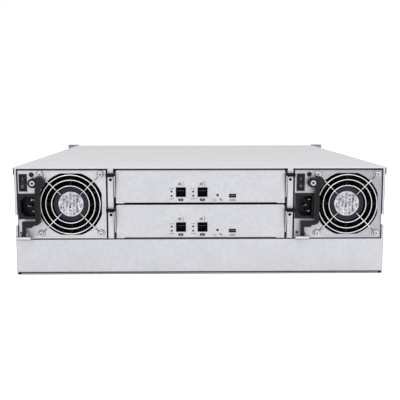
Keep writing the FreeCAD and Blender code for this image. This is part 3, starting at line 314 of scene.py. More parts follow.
def new_group(name, results, **inputs):
    """An empty node group with named sockets, and its input and output sockets.

    What kind an input is follows from its value: a number, a place or a colour.
    """
    kinds = {1: "NodeSocketFloat", 3: "NodeSocketVector", 4: "NodeSocketColor"}
    group = bpy.data.node_groups.new(name, "ShaderNodeTree")
    for label, value in inputs.items():
        size = len(value) if isinstance(value, tuple) else 1
        socket = group.interface.new_socket(label.replace("_", " "), in_out="INPUT",
                                            socket_type=kinds[size])
        socket.default_value = value
    for label in results:
        group.interface.new_socket(label, in_out="OUTPUT",
                                   socket_type=kinds[4 if label == "Color" else 1])
    entry = group.nodes.new("NodeGroupInput")
    leaving = group.nodes.new("NodeGroupOutput")
    return group, entry.outputs, leaving.inputs


SHEET_GREY = (0.6, 0.6, 0.63, 1)


def make_spangle_group():
    """Zinc sheet: crystal patches, a cloudy film, fine grain and rolled streaks along X."""
    group, given, result = new_group(
        "zinc_spangle", ("Color", "Roughness", "Height"),
        Color=SHEET_GREY, Contrast=0.1, Streaks=0.0, Roughness=0.42)
    place = coordinates(group)
    bent = noise(group, place, scale=90, detail=2)
    warp = 6 * MM  # how far the patches are bent out of shape
    offset = group.nodes.new("ShaderNodeVectorMath")
    offset.operation = "MULTIPLY_ADD"
    link(group, bent.node.outputs["Color"], offset.inputs[0])
    offset.inputs[1].default_value = (warp, warp, warp)
    link(group, place, offset.inputs[2])
    crystal = group.nodes.new("ShaderNodeTexVoronoi")
    crystal.inputs["Scale"].default_value = 260
    link(group, offset.outputs["Vector"], crystal.inputs["Vector"])
    patch = group.nodes.new("ShaderNodeSeparateColor")
    link(group, crystal.outputs["Color"], patch.inputs["Color"])
    cloud = noise(group, place, scale=28, detail=5, roughness=0.65)
    grain = noise(group, place, scale=750, detail=2, roughness=0.6)
    parts = ((patch.outputs["Red"], 0.3), (cloud, 0.8), (grain, 0.7))
    average = 0.9
    mix = calc(group, "ADD", *(calc(group, "MULTIPLY", *part) for part in parts))
    centred = calc(group, "SUBTRACT", mix, average)
    stretched = coordinates(group)
    stretched.node.inputs["Scale"].default_value = (2.5, 150, 150)
    rolled = noise(group, stretched, scale=1.0, detail=4, roughness=0.7)
    streak = calc(group, "MULTIPLY", calc(group, "SUBTRACT", rolled, 0.5), given["Streaks"])
    contrast = calc(group, "MULTIPLY", centred, given["Contrast"])
    lightness = calc(group, "ADD", contrast, streak, 1.0)
    link(group, shade(group, given["Color"], lightness), result["Color"])
    spread = calc(group, "MULTIPLY", centred, 0.16)
    link(group, calc(group, "ADD", given["Roughness"], spread), result["Roughness"])
    link(group, calc(group, "ADD", patch.outputs["Green"], grain), result["Height"])
    return group


def make_outline_light_group():
    """Painted light along a panel's folded outline: a painted highlight on the rim and a faint
    painted shade line at the crease inside it.
    """
    group, given, result = new_group(
        "painted_outline_light_and_shade", ("Color",), Color=SHEET_GREY, Low_X=-1.0, High_X=1.0,
        Low_Z=-1.0, High_Z=1.0, Rim=0.9 * MM, Rim_Light=0.12, Crease_Dark=0.07)
    apart = group.nodes.new("ShaderNodeSeparateXYZ")
    link(group, coordinates(group), apart.inputs["Vector"])
    distances = []
    for axis in ("X", "Z"):
        place = apart.outputs[axis]
        distances += [calc(group, "SUBTRACT", place, given["Low " + axis]),
                      calc(group, "SUBTRACT", given["High " + axis], place)]
    depth = calc(group, "MINIMUM", *distances)
    rim = calc(group, "LESS_THAN", depth, given["Rim"])
    crease_start, crease_end = 1.9, 2.6  # in rim widths
    outer = calc(group, "MULTIPLY", given["Rim"], crease_start)
    inner = calc(group, "MULTIPLY", given["Rim"], crease_end)
    crease = calc(group, "MULTIPLY", calc(group, "GREATER_THAN", depth, outer),
                  calc(group, "LESS_THAN", depth, inner))
    # the rim is lightened, a painted highlight, and the crease darkened, painted shade
    change = calc(group, "SUBTRACT", calc(group, "MULTIPLY", rim, given["Rim Light"]),
                  calc(group, "MULTIPLY", crease, given["Crease Dark"]))
    link(group, shade(group, given["Color"], calc(group, "ADD", change, 1.0)), result["Color"])
    return group


def make_moulded_group():
    """Moulded plastic: a fine spark-eroded grain with a slightly uneven sheen."""
    group, given, result = new_group(
        "moulded_grain", ("Color", "Roughness", "Height"),
        Color=(0.03, 0.03, 0.035, 1), Grain=1200.0, Roughness=0.5)
    place = coordinates(group)
    fine = noise(group, place, given["Grain"], detail=2)
    broad = noise(group, place, scale=60)
    tone = ramp(group, broad, 0.25, 0.75, out_low=0.86, out_high=1.14)
    link(group, shade(group, given["Color"], tone), result["Color"])
    sheen = ramp(group, fine, 0.3, 0.7, out_low=-0.05, out_high=0.05)
    link(group, calc(group, "ADD", given["Roughness"], sheen), result["Roughness"])
    link(group, fine, result["Height"])
    return group


def make_light_gradient_group():
    """Painted light: a slow change of lightness across a sheet, from one place to another."""
    group, given, result = new_group(
        "painted_light_gradient", ("Color",), Color=SHEET_GREY, From=(0, 0, 0),
        To=(0, 0, 1), Start=1.0, End=1.0)

    def vector(operation, first, second):
        node = group.nodes.new("ShaderNodeVectorMath")
        node.operation = operation
        link(group, first, node.inputs[0])
        link(group, second, node.inputs[1])
        return node.outputs["Value" if operation == "DOT_PRODUCT" else "Vector"]

    along = vector("SUBTRACT", coordinates(group), given["From"])
    whole = vector("SUBTRACT", given["To"], given["From"])
    part = calc(group, "DIVIDE", vector("DOT_PRODUCT", along, whole),
                vector("DOT_PRODUCT", whole, whole))
    part = calc(group, "MINIMUM", calc(group, "MAXIMUM", part, 0), 1)
    change = calc(group, "SUBTRACT", given["End"], given["Start"])
    lightness = calc(group, "ADD", given["Start"], calc(group, "MULTIPLY", part, change))
    link(group, shade(group, given["Color"], lightness), result["Color"])
    return group


GRAIN_DEPTH = 0.02 * MM  # full depth of a finish's relief
SPANGLE = make_spangle_group()
LIGHT_GRADIENT = make_light_gradient_group()
OUTLINE_LIGHT = make_outline_light_group()
MOULDED = make_moulded_group()


def new_material(name, metallic=0.0, specular=0.5):
    material = bpy.data.materials.new(name)
    material.use_nodes = True
    tree = material.node_tree
    surface = node_of(tree, "BSDF_PRINCIPLED")
    surface.inputs["Metallic"].default_value = metallic
    surface.inputs["Specular IOR Level"].default_value = specular
    return material, tree, surface


def add_effect(tree, group, settings):
    """Use a shared group in a material's tree; a setting's underscores stand for spaces."""
    effect = tree.nodes.new("ShaderNodeGroup")
    effect.node_tree = group
    for label, value in settings.items():
        effect.inputs[label.replace("_", " ")].default_value = value
    return effect


def grouped(name, group, metallic, relief, specular=0.5, **settings):
    """A material whose colour, roughness and relief come from one of the shared groups."""
    material, tree, surface = new_material(name, metallic, specular)
    effect = add_effect(tree, group, settings)
    bump = tree.nodes.new("ShaderNodeBump")
    bump.inputs["Strength"].default_value = relief
    bump.inputs["Distance"].default_value = GRAIN_DEPTH
    link(tree, effect.outputs["Height"], bump.inputs["Height"])
    link(tree, effect.outputs["Color"], surface.inputs["Base Color"])
    link(tree, effect.outputs["Roughness"], surface.inputs["Roughness"])
    link(tree, bump.outputs["Normal"], surface.inputs["Normal"])
    material.diffuse_color = effect.inputs["Color"].default_value
    return material


def zinc(name, color, contrast=0.13, roughness=0.45, metallic=0.7, streaks=0.0):
    return grouped(name, SPANGLE, metallic, relief=0.12, Color=(*color, 1),
                   Contrast=contrast, Streaks=streaks, Roughness=roughness)


def recolour(material, group, **settings):
    """Lead a material's base colour through one of the shared colour groups."""
    tree = material.node_tree
    base = node_of(tree, "BSDF_PRINCIPLED").inputs["Base Color"]
    effect = add_effect(tree, group, settings)
    link(tree, base.links[0].from_socket, effect.inputs["Color"])
    link(tree, effect.outputs["Color"], base)
    return material


def paint_outline_light(material, low, high, rim=0.9 * MM, light=0.12, crease=0.1):
    """Add a painted highlight on the rim and a painted shade line at the crease along the outline
    of a panel to its material.
    """
    return recolour(material, OUTLINE_LIGHT, Low_X=low.x, High_X=high.x, Low_Z=low.z,
                    High_Z=high.z, Rim=rim, Rim_Light=light, Crease_Dark=crease)


def plastic(name, color, roughness=0.5, grain=1200, relief=0.25, specular=0.22):
    return grouped(name, MOULDED, 0.0, relief, specular, Color=(*color, 1), Grain=grain,
                   Roughness=roughness)


def metal(name, color, roughness, broken=False):
    """Plain metal; broken raises its colour only in small spots, painted glints, and darkens it
    between them.
    """
    material = grouped(name, MOULDED, metallic=1.0, relief=0.1, Color=(*color, 1),
                       Grain=1800, Roughness=roughness)
    if broken:
        tree = material.node_tree
        base = node_of(tree, "BSDF_PRINCIPLED").inputs["Base Color"]
        spots = noise(tree, coordinates(tree), scale=650, detail=2, roughness=0.6)
        amount = ramp(tree, spots, 0.5, 0.62, out_low=0.08, out_high=3.2)
        link(tree, shade(tree, base.links[0].from_socket, amount), base)
    return material


def label_material(side):
    """Fan label: grey film with broken upright marks that stand for small print."""
    material, tree, surface = new_material(f"fan_label_{side}", specular=0.3)
    place = coordinates(tree, fan_centre(side))
    apart = tree.nodes.new("ShaderNodeSeparateXYZ")
    link(tree, place, apart.inputs["Vector"])
    across, up = apart.outputs["X"], apart.outputs["Z"]
    broad = noise(tree, place, scale=160, detail=2, roughness=0.6)
    fine = noise(tree, place, scale=520, detail=3, roughness=0.75)
    pitch, filled, waver = 4.1 * MM, 0.6, 0.9  # columns of print
    column = calc(tree, "ADD", calc(tree, "MULTIPLY", across, 1 / pitch),
                  calc(tree, "MULTIPLY", broad, waver))
    in_column = calc(tree, "LESS_THAN", calc(tree, "FRACT", column, 0), filled)
    strokes = calc(tree, "GREATER_THAN", fine, 0.51)
    squared = calc(tree, "ADD", calc(tree, "MULTIPLY", across, across),
                   calc(tree, "MULTIPLY", up, up))
    inside = calc(tree, "LESS_THAN", squared, PRINT_RADIUS ** 2)
    ink = calc(tree, "MULTIPLY", in_column, strokes, inside)
    film = ramp(tree, broad, 0.36, 0.62, out_low=0.66, out_high=1.22)
    tone = tree.nodes.new("ShaderNodeMix")
    tone.data_type = "RGBA"
    tone.inputs["A"].default_value = (0.66, 0.65, 0.7, 1)
    tone.inputs["B"].default_value = (0.06, 0.06, 0.08, 1)
    link(tree, ink, tone.inputs["Factor"])
    link(tree, shade(tree, tone.outputs["Result"], film), surface.inputs["Base Color"])
    link(tree, ramp(tree, fine, 0.3, 0.7, out_low=0.4, out_high=0.55),
         surface.inputs["Roughness"])
    return material


ZINC_SHEET = zinc("zinc_sheet", (0.535, 0.54, 0.57), contrast=0.2)
# The cover's zinc grows lighter towards its rear edge: painted light.
ZINC_COVER = recolour(
    zinc("zinc_cover", (0.5, 0.5, 0.522), contrast=0.1, streaks=0.32), LIGHT_GRADIENT,
    From=(0, -REAR, 0), To=(0, REAR, 0), Start=1.0, End=1.11)
# A lighter copy of the cover's zinc: painted highlight on the cover's rear hem.
COVER_HEM_LIT = zinc("zinc_cover_hem_painted_highlight", (0.6, 0.6, 0.62), contrast=0.1)
ZINC_INSIDE = zinc("zinc_inner_frame", (0.5, 0.51, 0.54), contrast=0.12, roughness=0.5)
ZINC_LEVER = zinc("zinc_ejector", (0.42, 0.425, 0.455))
# Near-black zinc: painted shade on gap walls, fold ends and round guard screws.
SHADE_ZINC = zinc("zinc_painted_gap_shade", (0.035, 0.035, 0.042), contrast=0.2, roughness=0.6,
                  metallic=0.3)
# Near-black matte plastic: painted shade filling gaps and the bottom slit.
BLACK_GAP_SHADE = plastic("black_painted_gap_shade", (0.006, 0.006, 0.008), 0.9, grain=500, relief=0.6,
                 specular=0.05)
EAR_PAINT = plastic("ear_enamel", (0.3, 0.305, 0.325), 0.42, grain=700, relief=0.3)
BLACK_MOULDING = plastic("black_moulding", (0.007, 0.007, 0.01), 0.42)
BLACK_HIGHLIT = plastic("black_moulding_painted_highlight", (0.055, 0.055, 0.065), 0.42)
BAR_BLACK = plastic("finger_bar_black", (0.004, 0.004, 0.006), specular=0.1)
ROCKER_BLACK = plastic("rocker_black", (0.008, 0.008, 0.011), 0.35)
FAN_BLACK = plastic("fan_black", (0.003, 0.003, 0.004), 0.6, grain=900, specular=0.08)
MOTOR_GREY = plastic("motor_base_grey", (0.022, 0.02, 0.036), grain=900, specular=0.15)
GUARD_WIRE = metal("guard_wire_bright", (0.72, 0.715, 0.71), 0.33)
# Dark wire: painted shade on the guard's wire ends where they lie against the sheet.
WIRE_TAIL_SHADE = metal("guard_wire_tail_painted_shade", (0.16, 0.16, 0.18), 0.4)
SCREW_STEEL = metal("screw_steel", (0.5, 0.5, 0.53), 0.35)
# Near-black metal: painted shade deep in screw recesses and sockets.
RECESS_SHADE = metal("screw_recess_painted_shade", (0.03, 0.03, 0.035), 0.5)
# Inlet pins in dark metal, painted shade inside the inlet's mouth; their tips carry painted
# glints.
PIN_TIP = metal("inlet_pin_tip", (0.13, 0.125, 0.12), 0.28, broken=True)
PIN_SHANK = metal("inlet_pin_shank", (0.05, 0.05, 0.055), 0.4)
PORT_STEEL = metal("port_shell_steel", (0.011, 0.011, 0.015), 0.45)
PORT_SPRING = metal("port_springs", (0.1, 0.1, 0.12), 0.35)
PORT_BLACK = plastic("port_insert_black", (0.0018, 0.0018, 0.0025), 0.6, specular=0.05)
PORT_TONGUE = plastic("service_port_tongue", (0.16, 0.16, 0.18), 0.45)
BOARD_GREEN = plastic("board_lacquer", (0.02, 0.1, 0.045), 0.35, grain=500)
LAMP_DARK = plastic("lamp_lens_unlit", (0.012, 0.013, 0.016), 0.2, grain=300, relief=0.05)
MARK_WHITE = plastic("switch_mark_white", (0.3, 0.3, 0.32))
MARK_GREY = plastic("panel_print_grey", (0.01, 0.01, 0.014), 0.6, specular=0.1)
PLATE_DARK = plastic("port_plate_dark", (0.004, 0.004, 0.005), specular=0.1)
TAG_LIGHT = plastic("port_tag_light", (0.45, 0.45, 0.47))
TRAY_GREY = plastic("tray_frame_grey", (0.16, 0.165, 0.18), 0.45, grain=800)
LATCH_BLACK = plastic("tray_latch_black", (0.025, 0.025, 0.028), 0.4)
DISK_METAL = metal("disk_casting", (0.45, 0.46, 0.48), 0.4)
LAMP_GREEN = plastic("tray_lamp_green", (0.05, 0.35, 0.1), 0.25, grain=300, relief=0.05)
POST_SHEET = zinc("zinc_posts_and_shelf", (0.6, 0.605, 0.635), contrast=0.16)
LABELS = {side: label_material(side) for side in SIDES}


# ---- finishes of the CAD nodes

FAR = 1.0  # an outline that lies far off, out of use
UNDER_COVER = SHELF + 75 * MM  # panels that reach higher end under the cover


def painted_shade_outline(material, low_x=-FAR, high_x=FAR, low_z=-FAR, high_z=FAR,
                 rim=0.8 * MM, dark=0.85):
    """Painted shade: a dark line along the given edges of a panel, as where it meets a gap."""
    return paint_outline_light(material, Vector((low_x, 0, low_z)), Vector((high_x, 0, high_z)),
                        rim, light=-dark, crease=0.0)


def panel_finish(node, color=(0.535, 0.54, 0.572)):
    """Zinc for one panel, with its own painted rim highlight and crease shade, and painted shade
    where it meets the cover.
    """
    low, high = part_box(node)
    sheet = paint_outline_light(zinc(f"zinc_{node}", color, contrast=0.26), low, high)
    if high.z > UNDER_COVER:
        painted_shade_outline(sheet, high_z=high.z, rim=1.0 * MM)
    return sheet


def paint(node, base, *others):
    """Give a node its main finish, and others to the faces that their tests pick."""
    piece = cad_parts[node]
    piece.data.materials.clear()
    coat(piece, base, *(finish for finish, _ in others))
    for face in piece.data.polygons:
        face.material_index = 0
        for index, (_, test) in enumerate(others, start=1):
            if test(face.center, face.normal):
                face.material_index = index


def shaded_gap_wall(spot, normal):
    """Faces at the rear plane that don't look to the rear, the walls of the gaps between sheets,
    which get painted shade.
    """
    return normal.y > -0.5 and REAR - 1 * MM < spot.y < REAR + 2.6 * MM


def rear_edge(spot, normal):
    """Thin rear edges of sheets, which look straight to the rear."""
    return normal.y < -0.9 and spot.y < REAR + 1.5 * MM


def paint_chassis():
    low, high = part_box("chassis_tub")
    lip = 3 * MM  # height of the base's lip
    # The blank panel gets painted shade along its sides and above the base's lip, and the tub's
    # gap walls get painted shade.
    blank = painted_shade_outline(zinc("zinc_blank_panel", (0.535, 0.54, 0.57), contrast=0.24),
                         low.x, high.x, low.z + lip, rim=0.6 * MM, dark=0.55)
    paint("chassis_tub", ZINC_SHEET, (blank, rear_edge),
          (SHADE_ZINC, lambda spot, normal: shaded_gap_wall(spot, normal) and spot.z > lip))
    # The cover's rear edge gets the lighter hem zinc, a painted highlight, and the rear ends of
    # its side folds get painted shade.
    paint("top_cover", ZINC_COVER, (COVER_HEM_LIT, rear_edge),
          (SHADE_ZINC, lambda spot, normal: spot.z < high.z - 2 * MM
           and normal.y < -0.9 and spot.y < REAR + 8 * MM))
    paint("rack_ears", EAR_PAINT)
    # Each post's rear face gets painted shade along both its sides, at the gaps; the shelf's rear
    # edge and the frame's gap walls get painted shade.
    finishes = []
    for side, sign in (("left", -1), ("right", 1)):
        edges = sorted((POST_INNER * sign, POST_OUTER * sign))
        sheet = zinc(f"zinc_{side}_post", (0.555, 0.56, 0.59), contrast=0.2)
        painted_shade_outline(sheet, *edges, rim=0.75 * MM, dark=0.9)
        finishes.append((sheet, lambda spot, normal, sign=sign: normal.y < -0.9
                         and spot.x * sign > 0 and spot.z > SHELF and spot.y < REAR + MM))
    paint("rear_bay_frame", POST_SHEET, *finishes,
          (SHADE_ZINC, lambda spot, normal: shaded_gap_wall(spot, normal)
           or rear_edge(spot, normal) and SHELF - 2.2 * MM < spot.z < SHELF + 0.2 * MM))
    paint("drive_cage", ZINC_INSIDE)
    board_rear, board_front = 62 * MM, 86 * MM  # beyond these lie the connectors
    paint("midplane_board", BOARD_GREEN,
          (PORT_BLACK, lambda spot, normal: spot.y > board_front or spot.y < board_rear))


def module_finish(side, node):
    """Zinc for a power module's panel, with painted shade where its outer side meets the case."""
    low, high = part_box(node)
    if side == "left":
        sheet = panel_finish(node)
        return painted_shade_outline(sheet, low_x=low.x, rim=0.9 * MM)
    # The right module's panel is a darker copy that darkens further towards its upper right:
    # painted shade.
    sheet = panel_finish(node, (0.5, 0.505, 0.54))
    recolour(sheet, LIGHT_GRADIENT, From=(low.x, 0, low.z), To=(high.x, 0, high.z), Start=1.05, End=0.62)
    return painted_shade_outline(sheet, high_x=high.x, rim=0.7 * MM)


def lip_finish(side):
    """Zinc for the lip of a lever bracket, with painted shade along its top, underside and inner
    end.
    """
    wide, tall = 17.3 * MM, 4.2 * MM
    sheet = zinc(f"zinc_{side}_lip", (0.62, 0.625, 0.65), contrast=0.1)
    return painted_shade_outline(sheet, high_x=MODULE_LEFT[side] + wide, low_z=SHELF,
                        high_z=SHELF + tall, dark=0.88)


def paint_power_modules():
    for side in SIDES:
        node = f"{side}_power_"
        centre = fan_centre(side)
        left = MODULE_LEFT[side]

        def from_axis(spot):
            return math.hypot(spot.x - centre.x, spot.z - centre.z)

        def near_captive(spot):
            return math.hypot(spot.x - left - CAPTIVE_SCREW[0],
                              spot.z - SHELF - CAPTIVE_SCREW[1]) < 3.4 * MM

        def in_inlet(spot, mouth):
            return REAR + mouth < spot.y < REAR + 14.9 * MM and is_pin(spot, side)

        # The module's panel and lip carry painted outline light and shade, and its gap walls
        # painted shade.
        paint(node + "case", ZINC_SHEET, (module_finish(side, node + "case"), rear_edge),
              (SHADE_ZINC, shaded_gap_wall),
              (lip_finish(side), lambda spot, normal: spot.y < REAR - 11 * MM))
        paint(node + "fan_rotor", FAN_BLACK)
        paint(node + "finger_guard", GUARD_WIRE)
        paint(node + "switch_rocker", ROCKER_BLACK)
        paint(node + "fan_frame", FAN_BLACK,
              (MOTOR_GREY, lambda spot, normal: from_axis(spot) < 20.6 * MM
               and spot.y < REAR + 5.3 * MM))
        paint(node + "power_entry", BLACK_MOULDING,
              (LAMP_DARK, lambda spot, normal: abs(spot.x - left - LAMP[0]) < 3 * MM
               and spot.z > SHELF + 73 * MM and spot.y < REAR),
              (PIN_SHANK, lambda spot, normal: in_inlet(spot, 3 * MM)),
              (PIN_TIP, lambda spot, normal: in_inlet(spot, 2 * MM) and normal.y < -0.5))
        # The grip's side faces get a lighter black, a painted highlight; faces round the captive
        # screw get painted shade.
        paint(node + "release_lever", BLACK_MOULDING,
              (BLACK_HIGHLIT, lambda spot, normal: abs(normal.x) > 0.9
               and SHELF + 21 * MM < spot.z < SHELF + 60 * MM),
              (RECESS_SHADE, lambda spot, normal: near_captive(spot)
               and (spot.y < CAPTIVE_FACE or spot.y > REAR - 0.55 * MM)))


def paint_controllers():
    for level in LEVELS:
        bottom = CONTROLLER_BOTTOM[level]
        # Controller panels carry painted rim highlight, crease shade and shade under the cover;
        # their gap walls get painted shade.
        paint(f"{level}_controller_case", panel_finish(f"{level}_controller_case"),
              (SHADE_ZINC, shaded_gap_wall))
        paint(f"{level}_controller_board", BOARD_GREEN,
              (PORT_STEEL, lambda spot, normal: spot.y < REAR + 24.1 * MM
               and spot.z > bottom + 6.85 * MM and spot.x < 15 * MM),
              (PORT_STEEL, lambda spot, normal: spot.y < REAR + 12.1 * MM
               and spot.z > bottom + 6.6 * MM and spot.x > 30 * MM),
              (LAMP_DARK, lambda spot, normal: spot.y < REAR + 0.9 * MM
               and is_lamp(spot, bottom)))
        for side in SIDES:
            # The ejector arms' sides near the rear get painted shade.
            paint(f"{level}_controller_{side}_ejector", ZINC_LEVER,
                  (SHADE_ZINC, lambda spot, normal: abs(normal.x) > 0.5
                   and spot.y < REAR + 8 * MM),
                  (BAR_BLACK, lambda spot, normal: abs(spot.x) > 103 * MM
                   or abs(spot.x) < 101.4 * MM or spot.z < bottom + 7 * MM))


def paint_trays():
    for tray in TRAYS:
        low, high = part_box(f"drive_tray_{tray}")
        inner = (low.x + high.x) / 2
        paint(f"drive_tray_{tray}", TRAY_GREY,
              (DISK_METAL, lambda spot, normal: abs(spot.x - inner) < 50.81 * MM
               and spot.y < high.y - 14 * MM))
        paint(f"tray_latch_{tray}", LATCH_BLACK)


def is_pin(spot, side):
    """Inside the space of the three inlet pins."""
    across = spot.x - MODULE_LEFT[side]
    up = abs(spot.z - SHELF - INLET[1])
    half_wide, half_thick, pair, earth = 2.2 * MM, 1.2 * MM, 7 * MM, 12.8 * MM
    live = abs(across - INLET[0]) < half_wide and abs(up - pair) < half_thick
    return live or abs(across - earth) < half_wide and up < half_thick


def is_lamp(spot, bottom):
    """Inside one of the round light guides of a controller."""
    guides = [(20.3, 9.5, 1.45)]
    guides += [(port + PORT_LAMPS_MM, up, 1.15) for port in PORTS_MM for up in (8.8, 13.9)]
    return any(math.hypot(spot.x - across * MM, spot.z - bottom - up * MM) < reach * MM
               for across, up, reach in guides)


# ---- fan guards and labels

def make_bent_wire(name, route, radius):
    """A round wire along a route in the XY plane, from a disc pushed along it."""
    start = Vector(route[0])
    wire = new_piece(name, bpy.ops.mesh.primitive_circle_add, vertices=12, radius=radius,
                     fill_type="NGON", location=start, rotation=(0, math.radians(90), 0))
    only(wire)
    bpy.ops.object.mode_set(mode="EDIT")
    bpy.ops.mesh.select_mode(type="FACE")
    bpy.ops.mesh.select_all(action="SELECT")
    for before, after in zip(route, route[1:]):
        bpy.ops.mesh.extrude_region_move(
            TRANSFORM_OT_translate={"value": Vector(after) - Vector(before)})
    bpy.ops.mesh.select_all(action="SELECT")
    bpy.ops.mesh.normals_make_consistent(inside=False)
    leave()
    return wire


def make_ring(name, centre, radius, wire, segments=96):
    return new_piece(name, bpy.ops.mesh.primitive_torus_add, major_segments=segments,
                     minor_segments=12, major_radius=radius, minor_radius=wire,
                     location=centre, rotation=ALONG_Y)


def make_guard_wires():
    """The welded wires of one guard, about the fan's axis at the panel's plane."""
    parts = [make_ring("ring", (0, -GUARD_STAND, 0), radius, WIRE) for radius in GUARD_RINGS]
    diagonal = EYE_PITCH / 2 * math.sqrt(2)
    bend = diagonal - EYE_RADIUS
    route = [(SPOKE_INNER, -SPOKE_STAND, 0), (bend - 5.8 * MM, -SPOKE_STAND, 0),
             (bend - 5.2 * MM, -SPOKE_STAND + 0.1 * MM, 0),
             (bend - 2.8 * MM, EYE_Y - 0.1 * MM, 0), (bend - 2.2 * MM, EYE_Y, 0),
             (bend, EYE_Y, 0)]
    spoke = make_bent_wire("spoke", route, WIRE)
    eye = make_ring("eye", (diagonal, EYE_Y, 0), EYE_RADIUS, WIRE, 40)
    for part in (*parts, spoke, eye):
        coat(part, GUARD_WIRE, WIRE_TAIL_SHADE)
    # Wire beyond the outer ring, where it meets the sheet, gets painted shade.
    shade_start = GUARD_RINGS[2] + 3.5 * MM
    for face in spoke.data.polygons:
        face.material_index = int(face.center.x > shade_start)
    arm = joined("spoke_with_eye", [spoke, eye])
    parts += [copied(arm, "spoke_with_eye", turn=turn) for turn in (45, 135, 225, 315)]
    remove(arm)
    guard = joined("guard_wires", parts)
    only(guard)
    bpy.ops.object.shade_smooth()
    return guard


def make_eye_shade_disc():
    """A dark disc under a guard screw's eye, painted shade round it, set higher so it shows most
    above the screw.
    """
    thick, raised = 0.2 * MM, 0.35 * MM
    seat = drum("eye_shade_disc", (0, -thick, raised), EYE_RADIUS + 0.95 * MM, thick)
    return dent(seat, 0.25 * MM, 0.06 * MM)


def make_cross_screw():
    """Pan head with a cross recess, its underside at the origin, facing the rear."""
    head = drum("screw_head", (0, -SCREW_RISE, 0), SCREW_RADIUS, SCREW_RISE)
    dent(head, 0.9 * MM, -0.35 * MM)
    floor = -SCREW_RISE * 0.45
    for wide, tall in ((3.2, 0.75), (0.75, 3.2)):
        cutter = block("recess", (-wide / 2 * MM, -SCREW_RISE * 2, -tall / 2 * MM),
                       (wide / 2 * MM, floor, tall / 2 * MM))
        hollow(head, cutter)
    soften(head, 0.12 * MM)
    coat(head, SCREW_STEEL, RECESS_SHADE)
    # The deep middle of the cross recess gets painted shade.
    for face in head.data.polygons:
        deep = face.center.y > -SCREW_RISE * 0.8
        face.material_index = int(deep and math.hypot(face.center.x, face.center.z) < 1.8 * MM)
    return head


def make_fan_label():
    """Thin round label with a soft raised rim."""
    label = drum("fan_label", (0, 0, 0), LABEL_RADIUS, 0.2 * MM, 72)
    return soften(dent(label, 0.5 * MM, 0.08 * MM), 0.04 * MM)


def place_fan_fronts():
    wires, screw, label = make_guard_wires(), make_cross_screw(), make_fan_label()
    eye_shade = make_eye_shade_disc()
    corner = EYE_PITCH / 2
    seat = EYE_Y - WIRE  # screw heads sit on the eyes
    label_in = 0.8 * MM  # label on the motor, behind the panel's plane
    for side in SIDES:
        body = f"{side}_power_module"
        centre = fan_centre(side)
        guard = copied(wires, f"{side}_guard_wires", centre)
        dress(guard, body, "bright_wire")
        corners = [centre + Vector((across * corner, 0, up * corner))
                   for across in (-1, 1) for up in (-1, 1)]
        heads = joined(f"{side}_guard_screws",
                       [copied(screw, "head", spot + Vector((0, seat, 0))) for spot in corners])
        dress(heads, body, "bright_wire")
        eye_shades = joined(f"{side}_guard_screw_shades",
                         [copied(eye_shade, "eye_shade", spot) for spot in corners])
        dress(eye_shades, body, "zinc_sheet", SHADE_ZINC)
        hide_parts(f"{side}_power_finger_guard")
        sticker = copied(label, f"{side}_fan_label", centre + Vector((0, label_in, 0)))
        dress(sticker, body, "fan_plastic", LABELS[side])
    remove(wires, screw, label, eye_shade)


# ---- the cover's hem, and black strips of painted shade in the gaps and the bottom slit

def make_gap_shade_strip(name, node, rise):
    """Black strip on the top rear edge of a module, painted shade filling the gap above it,
    crowned along its length.
    """
    low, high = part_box(node)
    inset = 0.5 * MM
    strip = block(name, (low.x + inset, REAR + 0.5 * MM, high.z),
                  (high.x - inset, REAR + 6.5 * MM, high.z + rise))
    return bevel_edges(strip, rise * 0.3, lambda middle, along: abs(along.x) > 0.9
                       and middle.z > high.z + rise * 0.9)


def make_cover_hem():
    """The cover's rear edge, folded double, in lighter zinc than the cover: a painted highlight
    along the lip above the modules.
    """
    low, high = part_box("top_cover")
    flange, sheet = 1.5 * MM, 1.2 * MM
    under = high.z - sheet
    hem = block("cover_hem", (low.x + flange, REAR + 0.05 * MM, under - HEM_RISE),
                (high.x - flange, REAR + 2.5 * MM, under + 0.2 * MM))
    return bevel_edges(hem, 0.12 * MM, lambda middle, along: abs(along.x) > 0.9
                       and middle.z < under - 0.9 * HEM_RISE)


def make_bottom_shade_strip():
    """A dark strip in the slit between the blank panel and the base's lip, with a block at each
    end: painted shade in the slit and its corners.
    """
    low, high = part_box("chassis_tub")
    wall, plug, back = 1.3 * MM, 3.4 * MM, REAR + 1 * MM
    strip = block("bottom_shade_strip", (low.x + wall, REAR + 0.2 * MM, low.z + 1.8 * MM),
                  (high.x - wall, back, low.z + 3.2 * MM))
    bevel_edges(strip, 0.15 * MM, lambda middle, along: abs(along.x) > 0.9
                and middle.y < REAR + 0.5 * MM)
    ends = [soften(block("shade_strip_end", (left, REAR + 0.1 * MM, low.z + 0.15 * MM),
                         (left + plug, back, low.z + 2.9 * MM)), 0.4 * MM)
            for left in (low.x + wall, high.x - wall - plug)]
    return joined("bottom_shade_strip", [strip] + ends)


def place_hem_and_gap_shades():
    dress(make_cover_hem(), "chassis", "zinc_sheet", COVER_HEM_LIT)
    dress(make_bottom_shade_strip(), "chassis", "black_plastic", BLACK_GAP_SHADE)
    under_cover, between = 1.05 * MM, 1.7 * MM
    for side in SIDES:
        strip = make_gap_shade_strip(f"{side}_power_gap_shade", f"{side}_power_case", under_cover)
        dress(strip, f"{side}_power_module", "black_plastic", BLACK_GAP_SHADE)
    for level, rise in (("lower", between), ("upper", under_cover)):
        strip = make_gap_shade_strip(f"{level}_controller_gap_shade", f"{level}_controller_case", rise)
        dress(strip, f"{level}_controller", "black_plastic", BLACK_GAP_SHADE)


# ---- switch, lamp and lever details

